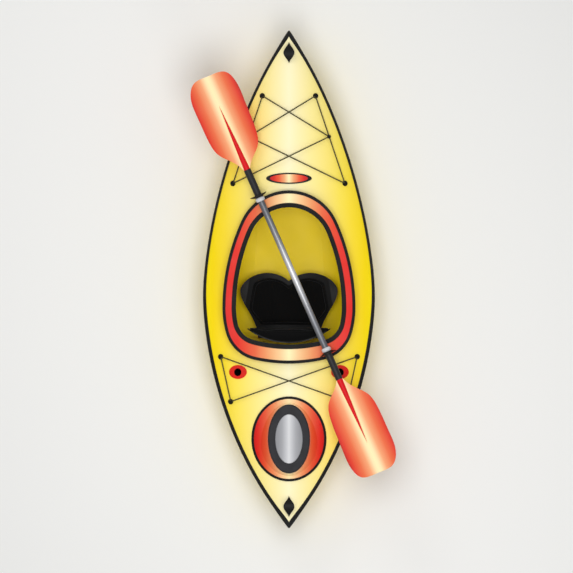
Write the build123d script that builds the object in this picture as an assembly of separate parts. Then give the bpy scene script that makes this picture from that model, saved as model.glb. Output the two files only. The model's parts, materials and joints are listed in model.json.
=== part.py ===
from build123d import *
from math import atan2, copysign, cos, exp, hypot, pi, radians, sin, sqrt
import os

# A short sit-inside recreational kayak with its double-bladed paddle laid across the cockpit.
# Millimetres. +Y is the bow, +X starboard, +Z up. The origin is the middle of the flat keel
# panel, on the plane that the boat stands on.

# ---------------------------------------------------------------- hull lines
BOW_REACH = 1271.0  # origin to the front of the bow bumper
STERN_REACH = 1167.0  # origin to the back of the stern bumper
BEAM = 843.0  # over the gunwale trim
WIDEST_Y = -29.0  # station of the greatest beam
SEAM_HEIGHT = 215.0  # keel panel to the hull-deck seam amidships
BOW_SEAM_RISE = 70.0
STERN_SEAM_RISE = 45.0
FORE_CROWN = 108.0  # deck crown above the seam, forward of the widest station
AFT_CROWN = 82.0
TIP_CROWN = 14.0  # crown left at either tip
ROCKER = 60.0  # lift of the keel line towards the ends
STEM_RISE = 165.0  # further lift of the rounded stems
KEEL_CUT = 8.0  # depth planed off the round bottom to leave the flat keel panel
WALL = 5.0  # moulded skin
PARTING = -4.0  # joint between hull and deck mouldings, from the widest line
HOLLOW = 0.955  # share of the way to each tip that the hollow reaches
TRIM_OUT = 6.0  # gunwale trim: how far it stands proud
TRIM_HALF = 14.0  # and half its height
TIP_CAP = 30.0  # trim thickness at the stem heads
BOW_PLAN = (1.66, 0.83)  # exponents of the plan curve 1 - u^p, raised to q
STERN_PLAN = (1.82, 0.84)
STATIONS = (0.0, 0.15, 0.35, 0.55, 0.72, 0.85, 0.93, 0.975, 0.993, 0.9985)
SECTION_POINTS = 6  # spline points each side of the centreline

# ---------------------------------------------------------------- cockpit rim
RIM_Y = -88.0  # station of the rim's greatest width
RIM_HALF_WIDTH = 326.0
RIM_FRONT = 576.0  # rim station to its foremost point
RIM_REAR = 273.0
RIM_FRONT_TOP = 350.0  # height of the rim's face at its front and rear
RIM_REAR_TOP = 327.0
RIM_SIDE_RADIUS = 1024.0
RIM_QUARTER_RADIUS = 441.0
RIM_CORNER_RADIUS = 186.0
RIM_BACK_RADIUS = 769.0
LIP_WIDTH = 15.0  # black bumper round the outside of the rim
BAND_SIDE, BAND_FRONT, BAND_REAR = 30.0, 46.0, 56.0  # red band
EDGING_WIDTH = 22.0  # black inner edging
TRIM_GRIP = 3.0  # depth that the plate's edges enter the bumper and the edging
RIM_PLATE = 8.0
LIP_PROUD = 2.0  # lip and edging stand this much above the red band
LIP_DEPTH = 12.0
EDGING_DEPTH = 16.0
RIM_OVERHANG = 17.0  # red band beyond the deck's upstand, for a spray skirt
SKIRT_DEPTH = 26.0
SKIRT_WALL = 4.0
FIT_GAP = 0.4  # clearance of one moulding round another

# ---------------------------------------------------------------- stern hatch
HATCH_Y = -730.0
HATCH_BASE = (172.0, 196.0)  # half axes of the red flange
HATCH_SHOULDER = (108.0, 175.0)  # top edge of its sloping skirt
HATCH_OPENING = (78.0, 142.0)
HATCH_COVER = (103.0, 169.0)
HATCH_LID = (68.0, 121.0)
HATCH_NECK_WALL = 7.0
HATCH_WALL = 4.0
RIVET_HEAD = 4.0
HATCH_TOP = 306.0  # height of the flange's shoulder
NECK_RISE = 9.0
FLANGE_SKIN = 4.0
GASKET_WIDTH = 12.0
GASKET_PROUD = 5.0
COVER_LIFT = 200.0

# ---------------------------------------------------------------- deck fittings
BADGE_Y = 547.0
BADGE_HALF = (112.0, 27.0)
BADGE_BORDER = 12.0
BADGE_PROUD = 3.0
HANDLE_Y = (1163.0, -1061.0)
HANDLE_HALF = (27.0, 52.0)
HANDLE_RISE = 34.0
HANDLE_STRAP = 8.0
HANDLE_FOOT = 17.0
HANDLE_CREST = ((0.0, 1.0), (0.35, 0.84), (0.7, 0.34), (1.0, 0.0))  # half length, rise
EYE_RADIUS = 13.5
EYE_BASE = 3.0
EYE_POST = 8.5
EYE_HEIGHT = 15.0
EYE_LIFT = 0.3  # bedding under each eye
CORD_DIAMETER = 6.0
CORD_RIDE = 10.5  # axis of the shock cord above the deck
CORD_STEP = 58.0  # length of each straight run over the crown
FORE_EYES = ((130.0, 951.0), (274.0, 522.0))
FORE_CLIP = (197.0, 751.0)
CORD_HUMP = 9.0  # rise of one leg over another
HUMP_WIDTH = 90.0
AFT_EYES = ((334.0, -327.0), (285.0, -547.0))
CLIP_RADIUS = 9.5
ROD_X, ROD_Y = 250.0, -402.0
ROD_BORE = 18.0
ROD_WALL = 3.0
ROD_LENGTH = 175.0
ROD_FLANGE = (43.5, 34.0)
ROD_SCREW = 34.0  # holder axis to each fixing screw
ROD_AFT, ROD_OUT = 25.0, 20.0  # lean of the holder, degrees
SCREW_HEAD = 4.5
SCREW_HEAD_HEIGHT = 2.4
SCREW_SHANK = 2.0
SCREW_LENGTH = 12.0
FLANGE_SCREW = 14.0  # through a fitting's flange into the deck

# ---------------------------------------------------------------- seat
SEAT_FRONT, SEAT_BACK = 78.0, -235.0
SEAT_HALF_FRONT, SEAT_HALF_BACK = 237.0, 162.0
SEAT_RIM_Z = 98.0
SEAT_SCOOP = 520.0  # radius of the hollow that the sitter rests in
SEAT_LOW = 42.0  # bottom of the hollow above the keel plane
SEAT_WALL = 5.0
HULL_ROOM = 1.5  # clearance of the seat round the curve of the bottom
PAD_THICK = 18.0
PAD_INSET = 24.0
PAD_BACK_Y = -172.0  # the cushion ends ahead of the backrest's hinge
BOLT_PLACES = ((120.0, 10.0), (92.0, -150.0))
BOLT_HEAD, BOLT_SHANK, BOLT_BOSS = 7.0, 3.0, 11.0
INSERT_HEIGHT = 10.0
HINGE_Y, HINGE_Z = -206.0, 104.0
HINGE_X = 118.0
PIN_RADIUS = 4.0
PIN_CLEARANCE = 0.06
EAR = 6.0
EAR_GAP = 0.5
BACK_FRONT_Y = -188.0
BACK_HALF = 209.0
BACK_DEPTH = 72.0
BACK_BOTTOM, BACK_TOP = 128.0, 292.0
BACK_CORNER = 34.0
BACK_TIP = 5.0  # trimmed off each side edge of the shell
BACK_SHELL = 6.0

# ---------------------------------------------------------------- inside the hull
BULKHEAD_Y, BULKHEAD_THICK = -520.0, 25.0
PILLAR_REAR, PILLAR_FRONT, PILLAR_HALF = 720.0, 1010.0, 32.0
RAIL_START, RAIL_END = (300.0, 330.0), (232.0, 640.0)
RAIL_Z = 128.0
RAIL_HEIGHT, RAIL_THICK = 24.0, 8.0
RAIL_POST = 16.0  # end of the rail to each post
RAIL_POST_RADIUS = 9.0
RAIL_TOOTH = 20.0
PEG_TRAVEL = 110.0
PEG_SADDLE = 46.0
PEG_SIZE = (62.0, 12.0, 96.0)
PEG_PLAY = 0.5
DRAIN_Y, DRAIN_Z = -1035.0, 140.0
DRAIN_BORE = 11.0
DRAIN_WALL = 4.0
DRAIN_PROUD = 4.0  # face of the socket beyond the hull's side
DRAIN_DEPTH = 36.0
THIGH_REAR, THIGH_FRONT = 60.0, 300.0
THIGH_THICK = 16.0
THIGH_DEPTH = 90.0

# ---------------------------------------------------------------- paddle
PADDLE_CENTRE = (21.0, 76.0)
PADDLE_ANGLE = 23.75  # from the boat's centreline, bow end to port
SHAFT_RADIUS = 16.0
SHAFT_WALL = 1.6
RING_REACH = 409.0  # middle of the paddle to each drip ring
RING_RADIUS = 43.0
RING_HUB = 23.0
RING_LENGTH = 34.0
SLEEVE_LENGTH = 152.0  # drip ring to blade root
SLEEVE_WALL = 1.6
BLADE_LENGTH = 496.0
BLADE_THICK = 4.0
BLADE_CURVE = 3200.0  # radius of the spoon
RIB_LENGTH = 344.0
RIB_TIP = 3.0
TANG_LENGTH = 70.0
FERRULE_HALF = 90.0
FERRULE_WALL = 2.4
FERRULE_CLEARANCE = 0.06
BUTTON_RADIUS = 6.0
BUTTON_OFFSET = 26.0
BUTTON_TRAVEL = 2.0
REST_GAP = 0.4  # air between paddle and rim in the solids

HULL_HALF = BEAM / 2 - TRIM_OUT
HULL_BOW = BOW_REACH - TIP_CAP
HULL_STERN = STERN_REACH - TIP_CAP
FAR = BEAM + BOW_REACH + STERN_REACH  # larger than anything here


# ================================================================ hull form
def reach(side):
    """Distance from the widest station to the tip on one side, +1 bow or -1 stern."""
    return (HULL_BOW - WIDEST_Y if side > 0 else HULL_STERN + WIDEST_Y) / STATIONS[-1]


def share(y):
    """Signed share of the way from the widest station to the tip."""
    side = 1 if y >= WIDEST_Y else -1
    return (y - WIDEST_Y) / reach(side)


def half_breadth(u):
    p, q = BOW_PLAN if u >= 0 else STERN_PLAN
    return HULL_HALF * (1 - min(abs(u), 1.0) ** p) ** q


def seam(u):
    return SEAM_HEIGHT + (BOW_SEAM_RISE if u >= 0 else STERN_SEAM_RISE) * abs(u) ** 2.2


def crown(u):
    high = FORE_CROWN if u >= 0 else AFT_CROWN
    blend = 1 / (1 + exp(-u * 14))
    high = AFT_CROWN + (FORE_CROWN - AFT_CROWN) * blend
    return TIP_CROWN + (high - TIP_CROWN) * (1 - min(abs(u), 1.0) ** 2.6)


def keel(u):
    return -KEEL_CUT + ROCKER * abs(u) ** 4 + STEM_RISE * abs(u) ** 22


def fullness(u):
    """Exponents of the bottom's curve: nearly square amidships, a soft V at the ends."""
    full = 1 - min(abs(u), 1.0) ** 2.5
    return 1.7 + 1.5 * full, 1.35 + 0.45 * full


def deck_share(x_share):
    return max(0.0, 1 - min(abs(x_share), 1.0) ** 2) ** (1 / 1.6)


def deck_z(x, y):
    """Height of the deck's outer face."""
    u = share(y)
    return seam(u) + crown(u) * deck_share(x / half_breadth(u))


def hull_x(y, z):
    """Half breadth of the hull's outer face at a height below the seam."""
    u = share(y)
    n, m = fullness(u)
    drop = (seam(u) - z) / (seam(u) - keel(u))
    return half_breadth(u) * (1 - drop**m) ** (1 / n)


def section(u, grow, extra):
    """One closed cross-section of the form, grown by a skin and drawn out at the very tips.

    Every section has the same even parameters, which keeps the lofted skin light.
    """
    side = 1 if u >= 0 else -1
    y = WIDEST_Y + u * reach(side) + side * extra * abs(u / STATIONS[-1]) ** 24
    taper = 1 - abs(u) ** 16 if grow > 0 else 1
    half, seam_z = half_breadth(u) + grow * taper, seam(u)
    depth, rise = seam_z - keel(u) + grow, crown(u) + grow
    n, m = fullness(u)
    bottom, top = [], []
    for i in range(-SECTION_POINTS, SECTION_POINTS + 1):
        turn = i / SECTION_POINTS * pi / 2
        across = copysign(abs(sin(turn)) ** (2 / n), turn)
        drop = max(0.0, 1 - abs(across) ** n) ** (1 / m)
        bottom.append(Vector(half * across, y, seam_z - depth * drop))
        top.append(Vector(half * across, y, seam_z + rise * deck_share(across)))
    evenly = [i / (2 * SECTION_POINTS) for i in range(2 * SECTION_POINTS + 1)]
    lower = Edge.make_spline(bottom, parameters=evenly)
    upper = Edge.make_spline(top[::-1], parameters=evenly)
    return Wire([lower, upper])


def form(grow=0.0, extra=0.0, tip=STATIONS[-1]):
    """The closed body of the boat, grown by a thickness, with its tips cut short or drawn out."""
    fore = [u * tip / STATIONS[-1] for u in STATIONS]
    aft = [-u for u in reversed(fore[1:])]
    return Solid.make_loft([section(u, grow, extra) for u in aft + fore])


def above(z):
    return Pos(0, 0, z + FAR / 2) * Box(FAR, FAR, FAR)


def seam_block(low, high):
    """Everything between two heights measured from the seam, across the whole boat."""
    us = [i / 10 * 1.03 for i in range(-10, 11)]

    def edge(offset):
        return [
            (WIDEST_Y + u * reach(1 if u >= 0 else -1), seam(u) + offset) for u in us
        ]

    bottom, top = edge(low), edge(high)
    wire = Wire(
        [
            Spline(*[Vector(0, y, z) for y, z in bottom]),
            Line((0, *bottom[-1]), (0, *top[-1])),
            Spline(*[Vector(0, y, z) for y, z in reversed(top)]),
            Line((0, *top[0]), (0, *bottom[0])),
        ]
    )
    return extrude(Face(wire), BEAM, dir=(1, 0, 0), both=True)


def only_solid(shape):
    """The largest solid of a cut, as one part."""
    return max(shape.solids(), key=lambda s: s.volume)


# ================================================================ outlines
def meet(c1, r1, c2, r2):
    """The crossing of two circles that lies to starboard."""
    dx, dy = c2[0] - c1[0], c2[1] - c1[1]
    d = hypot(dx, dy)
    along = (r1 * r1 - r2 * r2 + d * d) / (2 * d)
    off = sqrt(max(0.0, r1 * r1 - along * along))
    mid = (c1[0] + along * dx / d, c1[1] + along * dy / d)
    ends = [(mid[0] + s * off * dy / d, mid[1] - s * off * dx / d) for s in (1, -1)]
    return max(ends)


def touch(centre, other, radius):
    """Where an arc about centre touches the smaller arc about other."""
    dx, dy = other[0] - centre[0], other[1] - centre[1]
    d = hypot(dx, dy)
    return (centre[0] + dx / d * radius, centre[1] + dy / d * radius)


def arc_mid(centre, radius, a, b):
    """The middle of the shorter arc between two points of a circle."""
    mx, my = (a[0] + b[0]) / 2 - centre[0], (a[1] + b[1]) / 2 - centre[1]
    d = hypot(mx, my)
    return (centre[0] + mx / d * radius, centre[1] + my / d * radius)


def egg(side, front, rear):
    """The rim's outline, moved in by three insets, as tangent arcs about its widest point."""
    half, fore, aft = RIM_HALF_WIDTH - side, RIM_FRONT - front, RIM_REAR - rear
    flank, quarter = RIM_SIDE_RADIUS - side, RIM_QUARTER_RADIUS - side
    corner, back = RIM_CORNER_RADIUS - (side + rear) / 2, RIM_BACK_RADIUS - rear
    nose = (2 * flank * half - half * half - fore * fore) / (2 * (flank - fore))
    flank_c, quarter_c = (half - flank, 0.0), (half - quarter, 0.0)
    nose_c, back_c = (0.0, fore - nose), (0.0, back - aft)
    corner_c = meet(quarter_c, quarter - corner, back_c, back - corner)
    widest = (half, 0.0)
    shoulder = touch(flank_c, nose_c, flank)
    hip = touch(quarter_c, corner_c, quarter)
    heel = touch(back_c, corner_c, back)
    left = [(-x, y) for x, y in (widest, shoulder, hip, heel)]

    def arc(a, centre, radius, b):
        return ThreePointArc(a, arc_mid(centre, radius, a, b), b)

    def mirror_c(c):
        return (-c[0], c[1])

    edges = [
        arc(widest, flank_c, flank, shoulder),
        ThreePointArc(shoulder, (0.0, fore), left[1]),
        arc(left[1], mirror_c(flank_c), flank, left[0]),
        arc(left[0], mirror_c(quarter_c), quarter, left[2]),
        arc(left[2], mirror_c(corner_c), corner, left[3]),
        ThreePointArc(left[3], (0.0, -aft), heel),
        arc(heel, corner_c, corner, hip),
        arc(hip, quarter_c, quarter, widest),
    ]
    return Wire(edges)


def oval(half, hole=None):
    """An oval face, or an oval ring."""
    holes = [Wire([Edge.make_ellipse(*hole)])] if hole else None
    return Face(Wire([Edge.make_ellipse(*half)]), holes)


def prism(face, low, high):
    return extrude(Pos(0, 0, low) * face, high - low, dir=(0, 0, 1))


# ================================================================ rim
RIM_TILT = atan2(RIM_FRONT_TOP - RIM_REAR_TOP, RIM_FRONT + RIM_REAR)
RIM_PLANE = Plane(
    origin=(0, RIM_Y, RIM_REAR_TOP + RIM_REAR * sin(RIM_TILT) / cos(RIM_TILT)),
    x_dir=(1, 0, 0),
    z_dir=(0, -sin(RIM_TILT), cos(RIM_TILT)),
)
LIP_IN = (LIP_WIDTH,) * 3
BAND_IN = tuple(LIP_WIDTH + v for v in (BAND_SIDE, BAND_FRONT, BAND_REAR))
OPENING = tuple(v + EDGING_WIDTH for v in BAND_IN)
UPSTAND = (LIP_WIDTH + RIM_OVERHANG,) * 3
UPSTAND_IN = tuple(v + WALL for v in UPSTAND)
SKIRT = tuple(v + FIT_GAP for v in UPSTAND_IN)
SKIRT_IN = tuple(v + SKIRT_WALL for v in SKIRT)


def rim_top(y):
    return RIM_PLANE.origin.Z + (y - RIM_Y) * sin(RIM_TILT) / cos(RIM_TILT)


def rim_ring(outer, inner, low, high):
    """A ring between two insets of the rim's outline, in the rim's tilted plane."""
    ring = Face(egg(*outer), [egg(*inner)])
    return RIM_PLANE * prism(ring, low, high)


def rim_core(inset, low, high):
    return RIM_PLANE * prism(Face(egg(*inset)), low, high)


def rim_plate():
    outer = tuple(v - TRIM_GRIP for v in LIP_IN)
    inner = tuple(v + TRIM_GRIP for v in BAND_IN)
    return rim_ring(outer, inner, -RIM_PLATE, 0)


def cockpit_rim():
    """Flat red plate with a skirt that drops inside the deck's upstand."""
    return rim_plate() + rim_ring(SKIRT, SKIRT_IN, -SKIRT_DEPTH, -RIM_PLATE)


def rim_lip():
    """Rubber bumper grooved over the plate's outer edge."""
    return rim_ring((0, 0, 0), LIP_IN, -LIP_DEPTH, LIP_PROUD) - rim_plate()


def rim_edging():
    """Rubber edging grooved over the plate's inner edge."""
    return rim_ring(BAND_IN, OPENING, -EDGING_DEPTH, LIP_PROUD) - rim_plate()


def thigh_pads():
    """Foam braces stuck inside the skirt on either side, port first."""
    inner = tuple(v + THIGH_THICK for v in SKIRT_IN)
    ring = rim_ring(SKIRT_IN, inner, -THIGH_DEPTH, -SKIRT_DEPTH)
    zone = Box(FAR, THIGH_FRONT - THIGH_REAR, FAR)
    ring &= Pos(0, (THIGH_FRONT + THIGH_REAR) / 2, 0) * zone
    return sorted(ring.solids(), key=lambda pad: pad.center().X)


def rim_rivets():
    """Blind rivets through the rim's skirt into the deck's upstand, seen from inside."""
    wire = egg(*SKIRT_IN)
    head, stem = 5.0, 2.4
    rivets = []
    for i in range(12):
        at = (i + 0.5) / 12
        p, t = wire.position_at(at), wire.tangent_at(at)
        inward = Vector(-t.Y, t.X, 0)
        plane = Plane(origin=(p.X, p.Y, -RIM_PLATE - 10), z_dir=(inward.X, inward.Y, 0))
        grip = SKIRT_WALL + FIT_GAP + WALL
        body = Cylinder(head, 2, align=(Align.CENTER, Align.CENTER, Align.MIN))
        pin = Pos(0, 0, -grip) * Cylinder(stem, grip, align=(Align.CENTER, Align.CENTER, Align.MIN))
        rivets.append(RIM_PLANE * (plane * (body + pin)))
    return rivets


# ================================================================ deck placement
def deck_plane(x, y, above_deck=0.0):
    """A plane on the deck, its z along the deck's outward normal."""
    h = 1.0
    dzdx = (deck_z(x + h, y) - deck_z(x - h, y)) / (2 * h)
    dzdy = (deck_z(x, y + h) - deck_z(x, y - h)) / (2 * h)
    normal = Vector(-dzdx, -dzdy, 1).normalized()
    origin = Vector(x, y, deck_z(x, y)) + normal * above_deck
    return Plane(origin=origin, x_dir=Vector(1, 0, dzdx), z_dir=normal)


def screw(plane, shank=SCREW_LENGTH):
    """A pan-head screw with a cross recess; the plane's origin is under its head."""
    base = (Align.CENTER, Align.CENTER, Align.MIN)
    head = Cylinder(SCREW_HEAD, SCREW_HEAD_HEIGHT, align=base)
    head = fillet(head.edges().sort_by(Axis.Z)[-1], SCREW_HEAD_HEIGHT * 0.55)
    slot = Box(SCREW_HEAD, 0.9, SCREW_HEAD_HEIGHT) + Box(0.9, SCREW_HEAD, SCREW_HEAD_HEIGHT)
    head -= Pos(0, 0, SCREW_HEAD_HEIGHT * 1.1) * slot
    stem = Pos(0, 0, -shank) * Cylinder(SCREW_SHANK, shank, align=base)
    return plane * (head + stem)


def cord_leg(start, end, lift=0.0, ends=(EYE_POST, EYE_POST)):
    """One leg of shock cord over the crowned deck, humped where it crosses another."""
    dx, dy = end[0] - start[0], end[1] - start[1]
    length = hypot(dx, dy)
    count = max(3, round(length / CORD_STEP))
    points = []
    for i in range(count + 1):
        at = ends[0] + (length - ends[0] - ends[1]) * i / count
        x, y = start[0] + dx * at / length, start[1] + dy * at / length
        hump = lift * exp(-((x / HUMP_WIDTH) ** 2))
        points.append(Vector(x, y, deck_z(x, y) + CORD_RIDE + hump))
    radii = []
    for a, b, c in zip(points, points[1:], points[2:]):
        half_turn = radians((b - a).get_angle(c - b)) / 2
        run = min((b - a).length, (c - b).length)
        radii.append(0.45 * run * cos(half_turn) / sin(half_turn))
    path = FilletPolyline(*points, radius=radii)
    ring = Plane(origin=path.position_at(0), z_dir=path.tangent_at(0)) * Circle(CORD_DIAMETER / 2)
    return sweep(ring, path)


def side_lines(eyes):
    (fx, fy), (ax, ay) = eyes
    return [cord_leg((s * fx, fy), (s * ax, ay), ends=(EYE_POST - 3,) * 2) for s in (-1, 1)]


def cord_net(eyes, posts, clip=None):
    """All legs of a laced shock cord: two side lines and the crossings between them."""
    (fx, fy), (ax, ay) = eyes
    to_eyes = (EYE_POST - 3,) * 2
    if clip is None:
        legs = [
            cord_leg((-fx, fy), (ax, ay), CORD_HUMP, to_eyes),
            cord_leg((fx, fy), (-ax, ay), 0.0, to_eyes),
        ]
    else:
        cx, cy = clip
        to_clip = (EYE_POST - 3, CLIP_RADIUS)
        legs = [
            cord_leg((-s * x, y), (s * cx, cy), max(s, 0) * CORD_HUMP, to_clip)
            for s in (1, -1)
            for x, y in eyes
        ]
    return [only_solid(leg - posts) for leg in side_lines(eyes) + legs]


def cord_clips():
    """Balls threaded on the fore side lines, where the crossings hook on."""
    balls = []
    for line, side in zip(side_lines(FORE_EYES), (-1, 1)):
        x, y = side * FORE_CLIP[0], FORE_CLIP[1]
        ball = Pos(x, y, deck_z(x, y) + CORD_RIDE) * Sphere(CLIP_RADIUS)
        balls.append(only_solid(ball - line))
    return balls


def eye(x, y):
    """A moulded deck button that the shock cord is knotted through."""
    base = (Align.CENTER, Align.CENTER, Align.MIN)
    disc = Cylinder(EYE_RADIUS, EYE_BASE, align=base)
    post = Pos(0, 0, EYE_BASE) * Cylinder(EYE_POST, EYE_HEIGHT - EYE_BASE, align=base)
    post = fillet(post.edges().sort_by(Axis.Z)[-1], 2.5)
    return deck_plane(x, y, EYE_LIFT) * (disc + post)


def both_sides(points):
    return [(s * x, y) for x, y in points for s in (-1, 1)]


def carry_handle(y, outer_form):
    """A moulded grab handle: pointed at both ends in plan, arched over a finger gap."""
    half_x, half_y = HANDLE_HALF
    foot_z = deck_z(0, y)
    low, top, toe = foot_z - 20, foot_z + HANDLE_RISE, foot_z + 7
    side = [(0, half_y), (half_x * 0.36, half_y * 0.64), (half_x * 0.82, half_y * 0.3)]
    side += [(half_x, 0.0)] + [(x, -v) for x, v in reversed(side)]
    plan = Face(Wire([Spline(*side), Spline(*[(-x, v) for x, v in side])]))
    crest = [(v * half_y, toe + (top - toe) * h) for v, h in HANDLE_CREST]
    crest = [(-v, z) for v, z in reversed(crest[1:])] + crest
    crest = [(0, y + v, z) for v, z in crest]
    corners = [(0, y + half_y, low), (0, y - half_y, low)]
    arch = Wire([Spline(*crest), *Polyline(crest[-1], *corners, crest[0]).edges()])
    body = Pos(0, y, 0) * prism(plan, low, top + 1)
    body &= extrude(Face(arch), half_x, dir=(1, 0, 0), both=True)
    gap_half = half_y - HANDLE_FOOT
    rear, front = (0, y - gap_half, foot_z), (0, y + gap_half, foot_z)
    under = [front, (0, front[1], low - 1), (0, rear[1], low - 1), rear]
    roof = ThreePointArc(rear, (0, y, top - HANDLE_STRAP), front)
    gap = Wire([roof, *Polyline(*under).edges()])
    body -= extrude(Face(gap), half_x + 1, dir=(1, 0, 0), both=True)
    return only_solid(body - outer_form)


# ================================================================ seat
def seat_outline(inset):
    """The pan in plan: two thigh lobes in front, narrower at the hips."""
    front, back = SEAT_FRONT - inset, SEAT_BACK + inset
    wide, narrow = SEAT_HALF_FRONT - inset, SEAT_HALF_BACK - inset
    lobe = wide * 0.62
    right = [
        (0.0, front - 34),
        (wide * 0.14, front - 12),
        (lobe, front),
        (wide, front - 74),
        (wide * 0.86, front - 172),
        (narrow, SEAT_BACK + 58),
        (narrow * 0.94, back),
    ]
    edge = Spline(*right)
    mirrored = Spline(*[(-x, y) for x, y in right])
    closing = Line(right[-1], (-right[-1][0], right[-1][1]))
    return Face(Wire([edge, mirrored, closing]))


def scoop(radius_less):
    """The hollow of the seat: a barrel along the boat, tilted up at the front."""
    radius = SEAT_SCOOP - radius_less
    tilt = 4.0
    barrel = Rot(-90 + tilt, 0, 0) * Cylinder(radius, 900)
    return Pos(0, SEAT_BACK, SEAT_LOW + SEAT_SCOOP) * barrel


def bolt_column(radius, low, high):
    """Upright cylinders at the four seat bolts."""
    places = both_sides(BOLT_PLACES)
    column = Cylinder(radius, high - low, align=(Align.CENTER, Align.CENTER, Align.MIN))
    return [Pos(x, y, low) * column for x, y in places]


def bolt_seat_z(x):
    """Where a bolt's head sits: sunk below the pan's hollow."""
    return SEAT_LOW + SEAT_SCOOP - sqrt(SEAT_SCOOP**2 - x**2) - 6


def seat_pan(room):
    """Moulded shell open below, on bosses over the floor inserts."""
    block = (prism(seat_outline(0), WALL, SEAT_RIM_Z) & room) - scoop(0)
    inside = prism(seat_outline(SEAT_WALL), 0, SEAT_RIM_Z - SEAT_WALL) - scoop(-SEAT_WALL)
    pan = block - inside
    floor = WALL + INSERT_HEIGHT + FIT_GAP
    for boss in bolt_column(BOLT_BOSS, floor, SEAT_RIM_Z):
        pan += boss - scoop(0)
    for (x, y), hole in zip(both_sides(BOLT_PLACES), bolt_column(BOLT_SHANK, 0, SEAT_RIM_Z)):
        recess = Pos(x, y, bolt_seat_z(x) + 10) * Cylinder(BOLT_HEAD + 0.5, 20)
        pan = pan - hole - recess
    return only_solid(pan)


def seat_bolts():
    bolts = []
    for x, y in both_sides(BOLT_PLACES):
        under = bolt_seat_z(x)
        base = (Align.CENTER, Align.CENTER, Align.MIN)
        head = Pos(x, y, under) * Cylinder(BOLT_HEAD, 4, align=base)
        socket = Pos(x, y, under + 2) * RegularPolygon(3, 6)
        head -= extrude(socket, 4)
        shank = Pos(x, y, WALL + 2) * Cylinder(BOLT_SHANK, under - WALL - 2, align=base)
        bolts.append(head + shank)
    return bolts


def seat_inserts():
    blocks = bolt_column(BOLT_BOSS, WALL, WALL + INSERT_HEIGHT)
    return [b - h for b, h in zip(blocks, bolt_column(BOLT_SHANK, WALL + 2, SEAT_RIM_Z))]


def seat_cushion():
    pad = prism(seat_outline(PAD_INSET), WALL, SEAT_RIM_Z - 4) - scoop(PAD_THICK)
    behind = Pos(0, PAD_BACK_Y - 100, SEAT_RIM_Z) * Box(FAR, 200, FAR)
    return only_solid((pad & scoop(FIT_GAP)) - behind)


def hinge_bar(radius, start, stop):
    """A cylinder on the hinge's axis between two stations across the boat."""
    bar = Rot(0, 90, 0) * Cylinder(radius, abs(stop - start))
    return Pos((start + stop) / 2, HINGE_Y, HINGE_Z) * bar


def hinge_brackets():
    """Two upright cheeks on the pan that carry the backrest's pins."""
    brackets = []
    for side in (-1, 1):
        x = side * (HINGE_X + EAR + EAR_GAP)
        cheek = Pos(x, HINGE_Y, HINGE_Z / 2) * Box(EAR, 34, HINGE_Z)
        round_top = Pos(x, HINGE_Y, HINGE_Z) * (Rot(0, 90, 0) * Cylinder(17, EAR))
        pin_hole = hinge_bar(PIN_RADIUS, x - EAR, x + EAR)
        brackets.append(only_solid(((cheek + round_top) & scoop(0)) - pin_hole))
    return brackets


BACK_RADIUS = (BACK_HALF**2 + BACK_DEPTH**2) / (2 * BACK_DEPTH)


def backrest_rear(x):
    """Station of the backrest's rear face."""
    return BACK_FRONT_Y - BACK_DEPTH + BACK_RADIUS - sqrt(BACK_RADIUS**2 - x**2)


def backrest_core(less):
    """Everything in front of the backrest's curved rear face and behind its flat front."""
    middle = Pos(0, BACK_FRONT_Y - BACK_DEPTH + BACK_RADIUS, 0)
    rear = middle * Cylinder(BACK_RADIUS - less, FAR)
    return rear & Pos(0, BACK_FRONT_Y - BACK_RADIUS, 0) * Box(FAR, 2 * BACK_RADIUS, FAR)


def backrest_profile(inset, low, high):
    """The backrest from the front: a rounded band, as a prism along Y."""
    face = RectangleRounded(2 * (BACK_HALF - inset), high - low, BACK_CORNER)
    upright = Plane(origin=(0, 0, (low + high) / 2), x_dir=(1, 0, 0), z_dir=(0, -1, 0))
    return extrude(upright * face, FAR / 4, both=True)


def backrest_shell():
    """Moulded shell behind the foam, with two ears down to the hinge."""
    band = backrest_core(0) - backrest_core(BACK_SHELL)
    shell = band & backrest_profile(BACK_TIP, BACK_BOTTOM, BACK_TOP)
    rear = backrest_rear(HINGE_X)
    for side in (-1, 1):
        x = side * HINGE_X
        length = HINGE_Y - rear
        height = BACK_BOTTOM + BACK_CORNER - HINGE_Z
        ear = Pos(x, rear + length / 2, HINGE_Z + height / 2) * Box(EAR, length, height)
        ear += Pos(x, HINGE_Y, HINGE_Z) * (Rot(0, 90, 0) * Cylinder(14, EAR))
        ear += Pos(x, HINGE_Y, HINGE_Z + 12) * Box(EAR, 20, 24)
        shell += ear & backrest_core(1)
    return only_solid(shell - hinge_bar(PIN_RADIUS + PIN_CLEARANCE, -BACK_HALF, BACK_HALF))


def backrest_cushion():
    low = BACK_BOTTOM + BACK_CORNER + FIT_GAP
    return only_solid(backrest_core(BACK_SHELL) & backrest_profile(10, low, BACK_TOP - 6))


def hinge_pins():
    """Shoulder bolts: a head outside each cheek, a clip inside each ear."""
    pins = []
    inner, outer = HINGE_X - EAR / 2 - 1, HINGE_X + EAR * 1.5 + EAR_GAP
    for side in (-1, 1):
        pin = hinge_bar(PIN_RADIUS, side * (inner - 2), side * outer)
        pin += hinge_bar(PIN_RADIUS * 2, side * outer, side * (outer + 4))
        pins.append(pin + hinge_bar(PIN_RADIUS * 1.6, side * (inner - 2), side * inner))
    return pins


# ================================================================ foot braces
def rail_length():
    return hypot(RAIL_END[0] - RAIL_START[0], RAIL_END[1] - RAIL_START[1])


def rail_plane(side):
    """Foot-brace frame: y runs forward along the rail, x towards starboard."""
    (x0, y0), (x1, y1) = RAIL_START, RAIL_END
    along = Vector(side * (x1 - x0), y1 - y0, 0).normalized()
    middle = Vector(side * (x0 + x1) / 2, (y0 + y1) / 2, RAIL_Z)
    return Plane(origin=middle, x_dir=along.cross(Vector(0, 0, 1)), z_dir=(0, 0, 1))


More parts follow.
